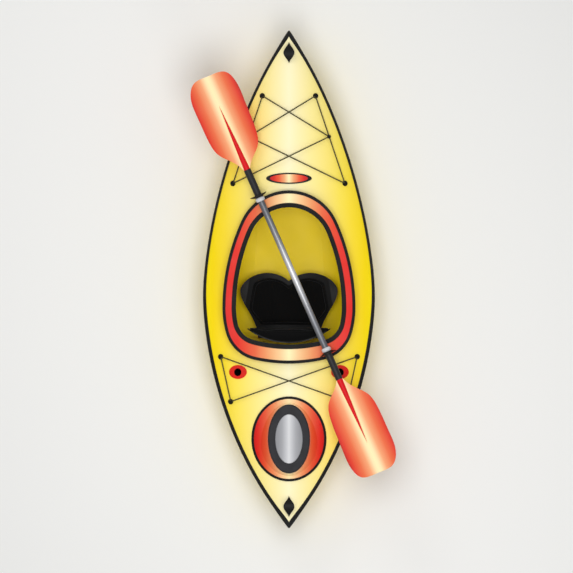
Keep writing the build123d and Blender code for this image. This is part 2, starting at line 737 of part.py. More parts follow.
def rail_posts(side, radius, gap, hollow):
    """Round posts from the rail out to the hull's side."""
    posts = []
    for end in (-1, 1):
        reach_out = 150.0
        post = Rot(0, 90, 0) * Cylinder(radius, reach_out - gap)
        at = side * (RAIL_THICK / 2 + gap + (reach_out - gap) / 2)
        place = Pos(at, end * (rail_length() / 2 - RAIL_POST), 0)
        posts.append(only_solid((rail_plane(side) * (place * post)) & hollow))
    return posts


def foot_rail(side, hollow):
    """Toothed rail on two stand-off posts."""
    bar = Box(RAIL_THICK, rail_length(), RAIL_HEIGHT)
    count = int(PEG_TRAVEL / RAIL_TOOTH) // 2 + 2
    for i in range(-count, count + 1):
        bar -= Pos(0, i * RAIL_TOOTH, RAIL_HEIGHT / 2) * Box(2 * RAIL_THICK, 6, 5)
    bar = rail_plane(side) * bar
    for post in rail_posts(side, RAIL_POST_RADIUS, 0, hollow):
        bar += post
    return only_solid(bar - rail_screws(side)[0] - rail_screws(side)[1])


def rail_screws(side):
    """Machine screws through the rail into its posts."""
    screws = []
    for end in (-1, 1):
        place = Pos(-side * RAIL_THICK / 2, end * (rail_length() / 2 - RAIL_POST), 0)
        screws.append(rail_plane(side) * (place * (Rot(0, -side * 90, 0) * screw(Plane.XY, 26))))
    return screws


def foot_peg(side):
    """Pedal, and the saddle that runs on the rail."""
    width, thick, height = PEG_SIZE
    saddle_w = RAIL_THICK + 14
    saddle = Box(saddle_w, PEG_SADDLE, RAIL_HEIGHT + 14)
    saddle -= Box(RAIL_THICK + 2 * PEG_PLAY, PEG_SADDLE + 2, RAIL_HEIGHT + 2 * PEG_PLAY)
    pedal = Pos(-side * (saddle_w / 2 + width / 2 - 2), 0, 4) * Box(width, thick, height)
    pedal = fillet(pedal.edges().filter_by(Axis.Y), 10)
    return rail_plane(side) * (Pos(0, -PEG_TRAVEL / 2, 0) * (saddle + pedal))


# ================================================================ rod holders
def rod_plane(side):
    """Frame on the holder's axis, leaning aft and outboard, at the deck."""
    lean = Vector(side * sin(radians(ROD_OUT)), -sin(radians(ROD_AFT)), 1)
    origin = Vector(side * ROD_X, ROD_Y, deck_z(ROD_X, ROD_Y))
    return Plane(origin=origin, z_dir=lean.normalized())


def rod_cylinder(side, radius, low, high):
    base = (Align.CENTER, Align.CENTER, Align.MIN)
    return rod_plane(side) * (Pos(0, 0, low) * Cylinder(radius, high - low, align=base))


def rod_holder(side, skin, outer_form):
    """A flush rod holder: oval flange on the deck, closed tube below it."""
    flange = (Pos(side * ROD_X, ROD_Y, 0) * prism(oval(ROD_FLANGE), SEAM_HEIGHT, FAR / 4)) & skin
    tube = rod_cylinder(side, ROD_BORE + ROD_WALL, -ROD_LENGTH, 40) & skin
    body = only_solid(flange - outer_form) + tube
    return only_solid(body - rod_cylinder(side, ROD_BORE, ROD_WALL - ROD_LENGTH, 60))


def rod_screw_places():
    return [(sx * ROD_X + s * ROD_SCREW, ROD_Y) for sx in (-1, 1) for s in (-1, 1)]


# ================================================================ paddle
def paddle_height():
    """Axis of the shaft: one hub lies on the rim in front, one drip cup on it behind."""
    along = RING_REACH * cos(radians(PADDLE_ANGLE))
    front = rim_top(PADDLE_CENTRE[1] + along) + RING_HUB
    rear = rim_top(PADDLE_CENTRE[1] - along + RING_HUB / 2) + RING_RADIUS
    return max(front, rear) + LIP_PROUD + REST_GAP


def paddle_plane(end):
    """Frame of one paddle half: y runs from the middle of the shaft to the blade tip."""
    angle = PADDLE_ANGLE + (0 if end > 0 else 180)
    along = Vector(-sin(radians(angle)), cos(radians(angle)), 0)
    return Plane(
        origin=(*PADDLE_CENTRE, paddle_height()),
        x_dir=along.cross(Vector(0, 0, 1)),
        z_dir=(0, 0, 1),
    )


def rod_y(radius, start, end):
    """A cylinder along local Y."""
    return Pos(0, (start + end) / 2, 0) * (Rot(90, 0, 0) * Cylinder(radius, end - start))


BLADE_ROOT = RING_REACH + SLEEVE_LENGTH


def blade_outline():
    right = [
        (SHAFT_RADIUS, 0.0),
        (44.0, 38.0),
        (98.0, 92.0),
        (119.0, 165.0),
        (126.0, 320.0),
        (122.0, 430.0),
        (96.0, 482.0),
        (10.0, BLADE_LENGTH),
    ]
    left = [
        (10.0, BLADE_LENGTH),
        (-72.0, 489.0),
        (-106.0, 448.0),
        (-120.0, 330.0),
        (-118.0, 205.0),
        (-100.0, 122.0),
        (-46.0, 56.0),
        (-SHAFT_RADIUS, 0.0),
    ]
    return Face(
        Wire(
            [
                Spline(*right, tangents=[(0.45, 1), (-1, 0.02)], tangent_scalars=(1, 1)),
                Spline(*left, tangents=[(-1, 0.02), (0.35, -1)], tangent_scalars=(1, 1)),
                Line(left[-1], right[0]),
            ]
        )
    )


def blade(end):
    """A spooned blade with its centre rib and the tang that plugs into the shaft."""
    plan = prism(blade_outline(), -100, 200)
    barrel = Rot(0, 90, 0) * Cylinder(BLADE_CURVE + BLADE_THICK / 2, 400)
    core = Rot(0, 90, 0) * Cylinder(BLADE_CURVE - BLADE_THICK / 2, 420)
    shell = Pos(0, 0, BLADE_CURVE) * (barrel - core)
    sheet = plan & shell
    rise = RIB_LENGTH**2 / (2 * BLADE_CURVE)
    rib = loft(
        [
            Plane(origin=(0, 0, 0), z_dir=(0, 1, 0)) * Circle(SHAFT_RADIUS),
            Plane(origin=(0, RIB_LENGTH, rise), z_dir=(0, 1, 0)) * Circle(RIB_TIP),
        ]
    )
    tang = rod_y(SHAFT_RADIUS - SHAFT_WALL, -TANG_LENGTH, 0)
    body = Pos(0, BLADE_ROOT, 0) * (only_solid(sheet) + rib + tang)
    return paddle_plane(end) * only_solid(body)


def shaft(end):
    start = 0.15
    tube = rod_y(SHAFT_RADIUS, start, BLADE_ROOT) - rod_y(SHAFT_RADIUS - SHAFT_WALL, -1, BLADE_ROOT + 1)
    if end < 0:
        tube -= Pos(0, BUTTON_OFFSET, -SHAFT_RADIUS) * Cylinder(BUTTON_RADIUS + 0.3, 2 * SHAFT_WALL + 4)
    return paddle_plane(end) * tube


def ferrule():
    """Inner sleeve fixed in the bow half; the stern half turns on it."""
    inner = SHAFT_RADIUS - SHAFT_WALL
    fixed = rod_y(inner, 0, FERRULE_HALF)
    free = rod_y(inner - FERRULE_CLEARANCE, -FERRULE_HALF, 0)
    groove_r = inner - BUTTON_TRAVEL - 2.6
    at = -BUTTON_OFFSET
    groove = rod_y(inner + 1, at - 9, at + 9) - rod_y(groove_r, at - 10, at + 10)
    bore = rod_y(groove_r - FERRULE_WALL, -FERRULE_HALF - 1, FERRULE_HALF + 1)
    return paddle_plane(1) * (fixed + free - groove - bore)


def ferrule_button():
    """Thumb button on the underside of the stern half."""
    base = (Align.CENTER, Align.CENTER, Align.MIN)
    inner = SHAFT_RADIUS - SHAFT_WALL
    length = SHAFT_WALL + 2 + BUTTON_TRAVEL
    stem = Cylinder(BUTTON_RADIUS, length, align=base)
    stem = fillet(stem.edges().sort_by(Axis.Z)[0], 1.2)
    return paddle_plane(-1) * (Pos(0, BUTTON_OFFSET, -inner - length + 2) * stem)


def sleeve(end):
    start, stop = RING_REACH + RING_LENGTH / 2, BLADE_ROOT
    tube = rod_y(SHAFT_RADIUS + SLEEVE_WALL, start, stop) - rod_y(SHAFT_RADIUS, start - 1, stop + 1)
    return paddle_plane(end) * tube


def drip_hub(end):
    half = RING_LENGTH / 2
    hub = rod_y(RING_HUB, RING_REACH - half, RING_REACH + 4)
    hub = fillet(hub.edges().filter_by(GeomType.CIRCLE), 7)
    hub -= rod_y(SHAFT_RADIUS, RING_REACH - half - 1, RING_REACH + half + 1)
    return paddle_plane(end) * hub


def drip_cup(end):
    """Flared rubber cup, open towards the blade."""
    half = RING_LENGTH / 2
    profile = [
        (SHAFT_RADIUS, 4.0),
        (RING_HUB - 5, 4.0),
        (RING_RADIUS, half - 3),
        (RING_RADIUS, half),
        (RING_RADIUS - 4, half),
        (SHAFT_RADIUS + 6, 9.0),
        (SHAFT_RADIUS + 4, half),
        (SHAFT_RADIUS, half),
    ]
    face = make_face(Polyline(*[(r, RING_REACH + y) for r, y in profile], close=True))
    return paddle_plane(end) * revolve(face, Axis.Y)


# ================================================================ hatch
NECK = tuple(v + HATCH_NECK_WALL for v in HATCH_OPENING)
COVER_LOW = HATCH_TOP + 1.0
NECK_TOP = HATCH_TOP + NECK_RISE
COVER_TOP = NECK_TOP + 12.0


def hatch_cone(less, top):
    base = tuple(v - less for v in HATCH_BASE)
    shoulder = tuple(v - less for v in HATCH_SHOULDER)
    return loft([Pos(0, 0, HATCH_TOP - 46) * oval(base), Pos(0, 0, top) * oval(shoulder)])


def hatch_flange(skin, outer_form):
    """Red surround: foot on the deck, sloping skirt, shoulder and neck."""
    foot = prism(oval(HATCH_BASE), SEAM_HEIGHT, FAR / 4)
    raised = Pos(0, HATCH_Y, 0) * hatch_cone(0, HATCH_TOP)
    body = only_solid(((Pos(0, HATCH_Y, 0) * foot) & skin) + raised - outer_form)
    body -= Pos(0, HATCH_Y, 0) * hatch_cone(HATCH_WALL + 2, HATCH_TOP - HATCH_WALL)
    body = only_solid(body) + Pos(0, HATCH_Y, 0) * prism(oval(NECK), HATCH_TOP - 40, NECK_TOP)
    return only_solid(body - Pos(0, HATCH_Y, 0) * prism(oval(HATCH_OPENING), SEAM_HEIGHT, FAR / 4))


def hatch_rivet_places():
    turn = [(i + 0.5) * pi / 4 for i in range(8)]
    inset = RIVET_HEAD + 3.5
    return [
        ((HATCH_BASE[0] - inset) * cos(t), HATCH_Y + (HATCH_BASE[1] - inset) * sin(t)) for t in turn
    ]


def hatch_cover_ring():
    """Rubber cover that snaps over the neck, with a window for the lid panel."""
    ring = prism(oval(HATCH_COVER), COVER_LOW, COVER_TOP)
    ring = fillet(ring.edges().group_by(Axis.Z)[-1], 9)
    room = tuple(v + 0.6 for v in NECK)
    ring -= prism(oval(room), COVER_LOW - 1, NECK_TOP + 0.6)
    return Pos(0, HATCH_Y, 0) * (ring - prism(oval(HATCH_LID), COVER_LOW, FAR / 4))


def hatch_lid():
    lid = prism(oval(HATCH_LID), NECK_TOP + 0.6, COVER_TOP - 1)
    return Pos(0, HATCH_Y, 0) * fillet(lid.edges().group_by(Axis.Z)[-1], 4)


# ================================================================ drain
def drain_plane():
    """Frame on the port quarter, its z along the hull's outward normal."""
    x, h = hull_x(DRAIN_Y, DRAIN_Z), 1.0
    along = (hull_x(DRAIN_Y + h, DRAIN_Z) - hull_x(DRAIN_Y - h, DRAIN_Z)) / (2 * h)
    up = (hull_x(DRAIN_Y, DRAIN_Z + h) - hull_x(DRAIN_Y, DRAIN_Z - h)) / (2 * h)
    normal = Vector(-1, -along, -up).normalized()
    return Plane(origin=Vector(-x, DRAIN_Y, DRAIN_Z) + normal * DRAIN_PROUD, z_dir=normal)


def drain_cylinder(radius, depth):
    """A cylinder from the drain's face into the hull."""
    return drain_plane() * Cylinder(radius, depth, align=(Align.CENTER, Align.CENTER, Align.MAX))


def drain_socket(outer_form):
    flange = only_solid(drain_cylinder(DRAIN_BORE + 11, DRAIN_DEPTH) - outer_form)
    body = flange + drain_cylinder(DRAIN_BORE + DRAIN_WALL, DRAIN_DEPTH)
    return only_solid(body - drain_cylinder(DRAIN_BORE + PIN_CLEARANCE, 2 * DRAIN_DEPTH))


def drain_plug():
    base = (Align.CENTER, Align.CENTER, Align.MIN)
    cap = Cylinder(DRAIN_BORE + 8, 4, align=base) + Pos(0, 0, 4) * Box(26, 6, 9, align=base)
    stem = Cylinder(DRAIN_BORE, DRAIN_DEPTH - 6, align=(Align.CENTER, Align.CENTER, Align.MAX))
    return drain_plane() * (Pos(0, 0, FIT_GAP) * (cap + stem))


# ================================================================ assembly
def cut_all(part, tools):
    """One cut by many small tools, kept as a single solid."""
    return only_solid(part - Compound(tools))


def shanks(planes, length=SCREW_LENGTH):
    hole = Pos(0, 0, -length) * Cylinder(
        SCREW_SHANK, length + 1, align=(Align.CENTER, Align.CENTER, Align.MIN)
    )
    return [plane * hole for plane in planes]


def fixings():
    """Every self-tapping screw on the deck: its group, seat plane and length."""
    eyes = [deck_plane(x, y, EYE_HEIGHT + EYE_LIFT) for x, y in both_sides(FORE_EYES + AFT_EYES)]
    rods = [deck_plane(x, y, FLANGE_SKIN + 0.1) for x, y in rod_screw_places()]
    rivets = [deck_plane(x, y, FLANGE_SKIN + 0.1) for x, y in hatch_rivet_places()]
    return {
        "cord_eye_screws": (eyes, EYE_HEIGHT + WALL - 1),
        "rod_holder_screws": (rods, FLANGE_SCREW),
        "hatch_screws": (rivets, FLANGE_SCREW),
    }


def build():
    outer = only_solid(form() & above(0))
    inner = only_solid(form(-WALL, tip=HOLLOW * STATIONS[-1]) & above(WALL))
    room = form(-WALL - HULL_ROOM, tip=HOLLOW * STATIONS[-1])
    proud = {g: form(g, g) for g in (BADGE_PROUD, FLANGE_SKIN, GASKET_PROUD)}
    fixed = fixings()
    holes = {name: shanks(*group) for name, group in fixed.items()}
    parts = {name: [screw(p, length) for p in planes] for name, (planes, length) in fixed.items()}

    # hull and deck mouldings
    shell = outer - inner
    hull = only_solid(shell & seam_block(-2 * SEAM_HEIGHT, PARTING))
    parts["hull_shell"] = only_solid(hull - drain_cylinder(DRAIN_BORE + DRAIN_WALL, HULL_HALF / 4))
    deck = only_solid(shell & seam_block(PARTING, 2 * SEAM_HEIGHT))
    upstand = rim_ring(UPSTAND, UPSTAND_IN, -RIM_FRONT_TOP / 2, -RIM_PLATE) - inner
    deck = only_solid(deck - rim_core(UPSTAND_IN, -RIM_FRONT_TOP / 2, RIM_FRONT_TOP) + upstand)
    neck_hole = tuple(v + FIT_GAP for v in NECK)
    tools = [Pos(0, HATCH_Y, 0) * prism(oval(neck_hole), SEAM_HEIGHT, FAR / 4)]
    tools += [rod_cylinder(side, ROD_BORE + ROD_WALL + FIT_GAP, -60, 60) for side in (-1, 1)]
    tools += [hole for group in holes.values() for hole in group] + rim_rivets()
    parts["deck_shell"] = cut_all(deck, tools)
    trim = form(TRIM_OUT, TIP_CAP) & seam_block(-TRIM_HALF, TRIM_HALF)
    parts["gunwale_trim"] = only_solid(trim - outer)
    parts["drain_socket"] = drain_socket(outer)
    parts["drain_plug"] = drain_plug()

    # cockpit
    parts["cockpit_rim"] = cut_all(cockpit_rim(), rim_rivets())
    parts["rim_lip"] = rim_lip()
    parts["rim_edging"] = rim_edging()
    parts["rim_rivets"] = rim_rivets()
    parts["thigh_pad_port"], parts["thigh_pad_starboard"] = thigh_pads()

    # hatch
    flange = hatch_flange(proud[FLANGE_SKIN], outer)
    parts["hatch_flange"] = cut_all(flange, holes["hatch_screws"])
    gasket = tuple(v + GASKET_WIDTH for v in HATCH_BASE)
    ring = Pos(0, HATCH_Y, 0) * prism(oval(gasket, HATCH_BASE), SEAM_HEIGHT, FAR / 4)
    parts["hatch_gasket"] = only_solid((ring & proud[GASKET_PROUD]) - outer)
    parts["hatch_cover_ring"] = hatch_cover_ring()
    parts["hatch_lid"] = hatch_lid()

    # deck fittings
    window = (BADGE_HALF[0] - 1.6 * BADGE_BORDER, BADGE_HALF[1] - 0.55 * BADGE_BORDER)
    at_badge = Pos(0, BADGE_Y, 0)
    bezel = at_badge * prism(oval(BADGE_HALF, window), SEAM_HEIGHT, FAR / 4)
    insert = at_badge * prism(oval(window), SEAM_HEIGHT, FAR / 4)
    parts["badge_bezel"] = only_solid((bezel & proud[BADGE_PROUD]) - outer)
    parts["deck_badge"] = only_solid((insert & proud[GASKET_PROUD]) - outer)
    for name, y in zip(("bow_handle", "stern_handle"), HANDLE_Y):
        parts[name] = carry_handle(y, outer)
    fore = [eye(*place) for place in both_sides(FORE_EYES)]
    aft = [eye(*place) for place in both_sides(AFT_EYES)]
    parts["fore_deck_cord"] = cord_net(FORE_EYES, Compound(fore), FORE_CLIP)
    parts["aft_deck_cord"] = cord_net(AFT_EYES, Compound(aft))
    eye_holes = Compound(holes["cord_eye_screws"])
    parts["fore_cord_eyes"] = [only_solid(post - eye_holes) for post in fore]
    parts["aft_cord_eyes"] = [only_solid(post - eye_holes) for post in aft]
    parts["cord_clips"] = cord_clips()
    for side, name in ((-1, "rod_holder_port"), (1, "rod_holder_starboard")):
        holder = rod_holder(side, proud[FLANGE_SKIN], outer)
        parts[name] = cut_all(holder, holes["rod_holder_screws"])

    # seat and backrest
    parts["seat_pan"] = seat_pan(room)
    parts["seat_cushion"] = seat_cushion()
    parts["seat_bolts"] = seat_bolts()
    parts["seat_inserts"] = seat_inserts()
    parts["backrest_shell"] = backrest_shell()
    parts["backrest_cushion"] = backrest_cushion()
    parts["backrest_brackets"] = hinge_brackets()
    parts["backrest_pins"] = hinge_pins()

    # inside the hull
    slab = Pos(0, BULKHEAD_Y - BULKHEAD_THICK / 2, 0) * Box(FAR, BULKHEAD_THICK, FAR)
    parts["rear_bulkhead"] = only_solid(inner & slab)
    length = PILLAR_FRONT - PILLAR_REAR
    slab = Pos(0, PILLAR_REAR + length / 2, 0) * Box(2 * PILLAR_HALF, length, FAR)
    parts["bow_pillar"] = only_solid(inner & slab)
    for side, name in ((-1, "port"), (1, "starboard")):
        parts[f"foot_rail_{name}"] = foot_rail(side, inner)
        parts[f"foot_peg_{name}"] = foot_peg(side)
    parts["foot_rail_screws"] = [s for side in (-1, 1) for s in rail_screws(side)]

    # paddle
    for end, name in ((1, "bow"), (-1, "stern")):
        parts[f"paddle_shaft_{name}"] = shaft(end)
        parts[f"paddle_blade_{name}"] = blade(end)
        parts[f"shaft_sleeve_{name}"] = sleeve(end)
        parts[f"drip_hub_{name}"] = drip_hub(end)
        parts[f"drip_cup_{name}"] = drip_cup(end)
    parts["paddle_ferrule"] = ferrule()
    parts["ferrule_button"] = ferrule_button()
    return parts


if __name__ == "__main__":
    os.makedirs("parts", exist_ok=True)
    for name, shape in build().items():
        solids = [s for item in (shape if isinstance(shape, list) else [shape]) for s in item.solids()]
        export_step(Compound(solids) if len(solids) > 1 else solids[0], f"parts/{name}.step")
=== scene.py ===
import bmesh
import bpy
import json
import math
from mathutils import Matrix, Vector
from mathutils.bvhtree import BVHTree


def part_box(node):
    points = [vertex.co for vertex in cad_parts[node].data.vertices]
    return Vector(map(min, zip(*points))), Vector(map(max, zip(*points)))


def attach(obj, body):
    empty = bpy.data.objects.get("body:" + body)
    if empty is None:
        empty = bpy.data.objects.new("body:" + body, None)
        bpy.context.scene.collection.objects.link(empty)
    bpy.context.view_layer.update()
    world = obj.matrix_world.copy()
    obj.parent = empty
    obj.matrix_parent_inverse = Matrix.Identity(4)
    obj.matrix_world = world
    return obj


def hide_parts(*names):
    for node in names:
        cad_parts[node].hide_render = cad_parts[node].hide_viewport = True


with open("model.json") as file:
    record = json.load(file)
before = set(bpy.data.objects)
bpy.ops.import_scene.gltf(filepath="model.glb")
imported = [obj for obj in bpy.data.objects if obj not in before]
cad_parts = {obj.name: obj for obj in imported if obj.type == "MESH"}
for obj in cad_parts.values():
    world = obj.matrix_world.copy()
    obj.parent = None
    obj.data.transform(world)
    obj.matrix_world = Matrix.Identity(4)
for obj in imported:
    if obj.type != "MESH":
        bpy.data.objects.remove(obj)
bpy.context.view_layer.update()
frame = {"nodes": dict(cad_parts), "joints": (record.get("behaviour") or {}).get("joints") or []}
nodes = frame["nodes"]
MM = 0.001
SIDEWAYS, FORWARD, DOWN = Vector((1, 0, 0)), Vector((0, 1, 0)), Vector((0, 0, -1))


# ------------------------------------------------------------------ colour and nodes
WAVE_RATE = 20  # radians that the wave texture turns per unit at scale 1
HAND = 90.0  # mm


def srgb(hex_colour):
    """sRGB hex to linear RGBA."""
    parts = [int(hex_colour[i:i + 2], 16) / 255 for i in (1, 3, 5)]
    return tuple(c / 12.92 if c <= 0.04045 else ((c + 0.055) / 1.055) ** 2.4 for c in parts) + (1.0,)


def add(tree, kind, links=None, **settings):
    """One node with its settings; links maps an input to a socket or a value."""
    node = tree.nodes.new(kind)
    for name, value in settings.items():
        setattr(node, name, value)
    for name, value in (links or {}).items():
        if isinstance(value, bpy.types.NodeSocket):
            tree.links.new(value, node.inputs[name])
        else:
            node.inputs[name].default_value = value
    return node


def new_material(name):
    """An empty material with its shader; returns material, tree and shader."""
    material = bpy.data.materials.new(name)
    material.use_nodes = True
    tree = material.node_tree
    return material, tree, tree.nodes["Principled BSDF"]


def blend_stops(tree, factor, stops):
    """A colour ramp from (position, hex) stops."""
    ramp = add(tree, "ShaderNodeValToRGB", {"Fac": factor})
    elements = ramp.color_ramp.elements
    elements[0].position, elements[0].color = stops[0][0], srgb(stops[0][1])
    elements[1].position, elements[1].color = stops[-1][0], srgb(stops[-1][1])
    for position, colour in stops[1:-1]:
        elements.new(position).color = srgb(colour)
    return ramp.outputs["Color"]


def object_place(tree):
    """The place on the piece, in metres of the shared frame."""
    return add(tree, "ShaderNodeTexCoord").outputs["Object"]


def axis_reach(tree, place, axis, half_width):
    """0 on the centreline to 1 at half_width metres out, either side."""
    split = add(tree, "ShaderNodeSeparateXYZ", {"Vector": place})
    away = add(tree, "ShaderNodeMath", {0: split.outputs[axis]}, operation="ABSOLUTE")
    share = add(tree, "ShaderNodeMath", {0: away.outputs[0], 1: half_width}, operation="DIVIDE")
    return share.outputs[0]


def grain(tree, place, size_mm, detail=3.0):
    """Soft noise whose features are size_mm across."""
    scale = 1 / (size_mm * MM)
    return add(tree, "ShaderNodeTexNoise", {"Vector": place, "Scale": scale, "Detail": detail})


def relief(tree, height, depth_mm, strength=1.0):
    """The normal of a surface that rises by depth_mm where height is 1."""
    bump = add(tree, "ShaderNodeBump", {"Height": height, "Strength": strength,
                                        "Distance": depth_mm * MM})
    return bump.outputs["Normal"]


def wave_scale(period_mm):
    """The wave texture's scale that repeats its bands every period_mm."""
    return 2 * math.pi / (WAVE_RATE * period_mm * MM)


def scuffed(tree, place, roughness, spread):
    """Roughness that wanders with handling: rubbed patches a hand wide."""
    patch = grain(tree, place, HAND, 5.0)
    mapped = add(tree, "ShaderNodeMapRange", {"Value": patch.outputs["Fac"], "From Min": 0.3,
                                              "From Max": 0.7, "To Min": roughness - spread,
                                              "To Max": roughness + spread})
    return mapped.outputs["Result"]


# ------------------------------------------------------------------ materials
DULL = 0.2  # specular level of scuffed plastic and rubber
POLYETHYLENE_IOR, NYLON_IOR, RUBBER_IOR = 1.5, 1.53, 1.5
PAINTED_HIGHLIGHT_DRIFT = 160.0  # mm, patches over which the edge of the painted highlight wanders
ORANGE_PEEL = 5.0  # mm from crest to crest
SCRAPE_TOP = 0.07  # height above the keel that beach scrapes reach
BRAID_SCALE = 60.0  # wave scale of the cord's strands
TUBE_SHOWN = 0.409  # from the paddle's middle to its drip rings
BLADE_HALF = 0.126
SPINE_ROOT, SPINE_RUN, SPINE_HALF = 0.561, 0.344, 0.0155  # start along the shaft, length, half width


def rotomoulded_polyethylene(name, stops, half_width, scraped=False):
    """Rotomoulded polyethylene: waxy semi-gloss, faint orange peel; the colour runs through the stops
    from the centreline out to the edges, a painted highlight wherever the stops pale towards the middle."""
    material, tree, shader = new_material(name)
    place = object_place(tree)
    reach = axis_reach(tree, place, "X", half_width)
    drift = grain(tree, place, PAINTED_HIGHLIGHT_DRIFT, 2.0)
    wander = add(tree, "ShaderNodeMath", {0: drift.outputs["Fac"], 1: 0.5}, operation="SUBTRACT")
    pushed = add(tree, "ShaderNodeMath", {0: wander.outputs[0], 1: 0.05, 2: reach},
                 operation="MULTIPLY_ADD")
    # painted highlight: the colour pales towards the centreline wherever the stops do
    colour = blend_stops(tree, pushed.outputs[0], stops)
    peel = grain(tree, place, ORANGE_PEEL, 2.0).outputs["Fac"]
    if scraped:
        colour, peel = beach_scrapes(tree, place, colour, peel)
    tree.links.new(colour, shader.inputs["Base Color"])
    tree.links.new(scuffed(tree, place, 0.42, 0.06), shader.inputs["Roughness"])
    tree.links.new(relief(tree, peel, 0.12, 0.35), shader.inputs["Normal"])
    shader.inputs["IOR"].default_value = POLYETHYLENE_IOR
    shader.inputs["Specular IOR Level"].default_value = DULL
    return material


def beach_scrapes(tree, place, colour, peel):
    """Fine pale scratches along the bottom, where the boat is dragged up the beach."""
    drawn_out = add(tree, "ShaderNodeMapping", {"Vector": place, "Scale": (1.0, 0.03, 1.0)})
    lines = grain(tree, drawn_out.outputs["Vector"], 3.0, 4.0)
    sharp = add(tree, "ShaderNodeMapRange", {"Value": lines.outputs["Fac"], "From Min": 0.58,
                                             "From Max": 0.66})
    height = add(tree, "ShaderNodeSeparateXYZ", {"Vector": place})
    low = add(tree, "ShaderNodeMapRange", {"Value": height.outputs["Z"], "From Min": SCRAPE_TOP,
                                           "From Max": 0.0, "To Max": 0.55})
    surface = add(tree, "ShaderNodeNewGeometry")
    facing = add(tree, "ShaderNodeSeparateXYZ", {"Vector": surface.outputs["Normal"]})
    outside = add(tree, "ShaderNodeMath", {0: facing.outputs["Z"], 1: -0.1}, operation="LESS_THAN")
    shown = add(tree, "ShaderNodeMath", {0: low.outputs["Result"], 1: outside.outputs[0]},
                operation="MULTIPLY")
    worn = add(tree, "ShaderNodeMath", {0: sharp.outputs["Result"], 1: shown.outputs[0]},
               operation="MULTIPLY")
    # inputs 6 and 7 are the mix node's two colours
    paler = add(tree, "ShaderNodeMix", {0: worn.outputs[0], 6: colour, 7: srgb("#FFF3AE")},
                data_type="RGBA")
    cut = add(tree, "ShaderNodeMath", {0: peel, 1: worn.outputs[0]}, operation="SUBTRACT")
    return paler.outputs[2], cut.outputs[0]


def moulded_nylon(name, colour="#070708", rough=0.52, grain_mm=1.6):
    """Glass-filled nylon: near black, fine spark-eroded grain, dull sheen."""
    material, tree, shader = new_material(name)
    place = object_place(tree)
    shader.inputs["Base Color"].default_value = srgb(colour)
    tree.links.new(scuffed(tree, place, rough, 0.07), shader.inputs["Roughness"])
    # real grain is under 0.3 mm; drawn coarser so that it shows
    pits = grain(tree, place, grain_mm, 1.0)
    tree.links.new(relief(tree, pits.outputs["Fac"], 0.08, 0.4), shader.inputs["Normal"])
    shader.inputs["IOR"].default_value = NYLON_IOR
    shader.inputs["Specular IOR Level"].default_value = DULL
    return material


def extruded_rubber(name, colour="#060606", bloomed="#111112"):
    """Extruded EPDM rubber: soot black, matt, with a faint dusty bloom."""
    material, tree, shader = new_material(name)
    place = object_place(tree)
    bloom = grain(tree, place, 45.0, 4.0)
    colours = blend_stops(tree, bloom.outputs["Fac"], [(0.35, colour), (0.75, bloomed)])
    tree.links.new(colours, shader.inputs["Base Color"])
    tree.links.new(scuffed(tree, place, 0.62, 0.06), shader.inputs["Roughness"])
    shader.inputs["IOR"].default_value = RUBBER_IOR
    shader.inputs["Specular IOR Level"].default_value = DULL
    return material


def woven_cover(name):
    """Black 600-denier polyester: plain weave, soft sheen, painted shade in the weave's hollows against
    paler thread crests.
    """
    material, tree, shader = new_material(name)
    place = object_place(tree)
    # threads lie 0.5 mm apart on the real cloth; drawn at 3 mm so that they show
    threads = [
        add(tree, "ShaderNodeTexWave", {"Vector": place, "Scale": wave_scale(3.0), "Distortion": 0.3,
                                        "Detail": 1.0}, bands_direction=axis)
        for axis in ("X", "Y")
    ]
    woven = add(tree, "ShaderNodeMath", {0: threads[0].outputs["Fac"], 1: threads[1].outputs["Fac"]},
                operation="MULTIPLY")
    # painted shade: darker where the weave dips between threads, paler on their crests
    colours = blend_stops(tree, woven.outputs[0], [(0.0, "#040404"), (1.0, "#0D0D0E")])
    tree.links.new(colours, shader.inputs["Base Color"])
    tree.links.new(relief(tree, woven.outputs[0], 0.25, 0.5), shader.inputs["Normal"])
    shader.inputs["Roughness"].default_value = 0.86
    shader.inputs["Sheen Weight"].default_value = 0.06
    shader.inputs["Specular IOR Level"].default_value = 0.12
    return material


def sewing_thread(name):
    """Bonded nylon thread: charcoal, smooth and slightly shiny, twisted."""
    material, tree, shader = new_material(name)
    place = object_place(tree)
    # the twist is 0.7 mm on the real thread; drawn at 1.5 mm so that it shows
    twist = grain(tree, place, 1.5, 1.0)
    colours = blend_stops(tree, twist.outputs["Fac"], [(0.3, "#2E2E31"), (0.7, "#47474B")])
    tree.links.new(colours, shader.inputs["Base Color"])
    shader.inputs["Roughness"].default_value = 0.55
    return material


def closed_cell_foam(name):
    """Cross-linked polyethylene foam: charcoal, matt, finely pitted where it was sawn."""
    material, tree, shader = new_material(name)
    place = object_place(tree)
    cells = add(tree, "ShaderNodeTexVoronoi", {"Vector": place, "Scale": 1 / (2.2 * MM)})
    # painted shade: darker in the middle of each cell's pit, paler on the walls between
    colours = blend_stops(tree, cells.outputs["Distance"], [(0.0, "#101011"), (0.8, "#1C1C1E")])
    tree.links.new(colours, shader.inputs["Base Color"])
    tree.links.new(relief(tree, cells.outputs["Distance"], 0.3, 0.6), shader.inputs["Normal"])
    shader.inputs["Roughness"].default_value = 0.9
    return material


def braided_cord(name):
    """Shock cord: rubber core in a braided olive-black polyester sleeve."""
    material, tree, shader = new_material(name)
    place = object_place(tree)
    # strands lie 1 mm apart on the real cord; drawn at about 5 mm so that they show
    weft = add(tree, "ShaderNodeTexWave", {"Vector": place, "Scale": BRAID_SCALE, "Distortion": 0.4},
               bands_direction="DIAGONAL")
    colours = blend_stops(tree, weft.outputs["Fac"], [(0.2, "#23210F"), (0.8, "#5A5532")])
    tree.links.new(colours, shader.inputs["Base Color"])
    tree.links.new(relief(tree, weft.outputs["Fac"], 0.4, 0.6), shader.inputs["Normal"])
    shader.inputs["Roughness"].default_value = 0.8
    return material


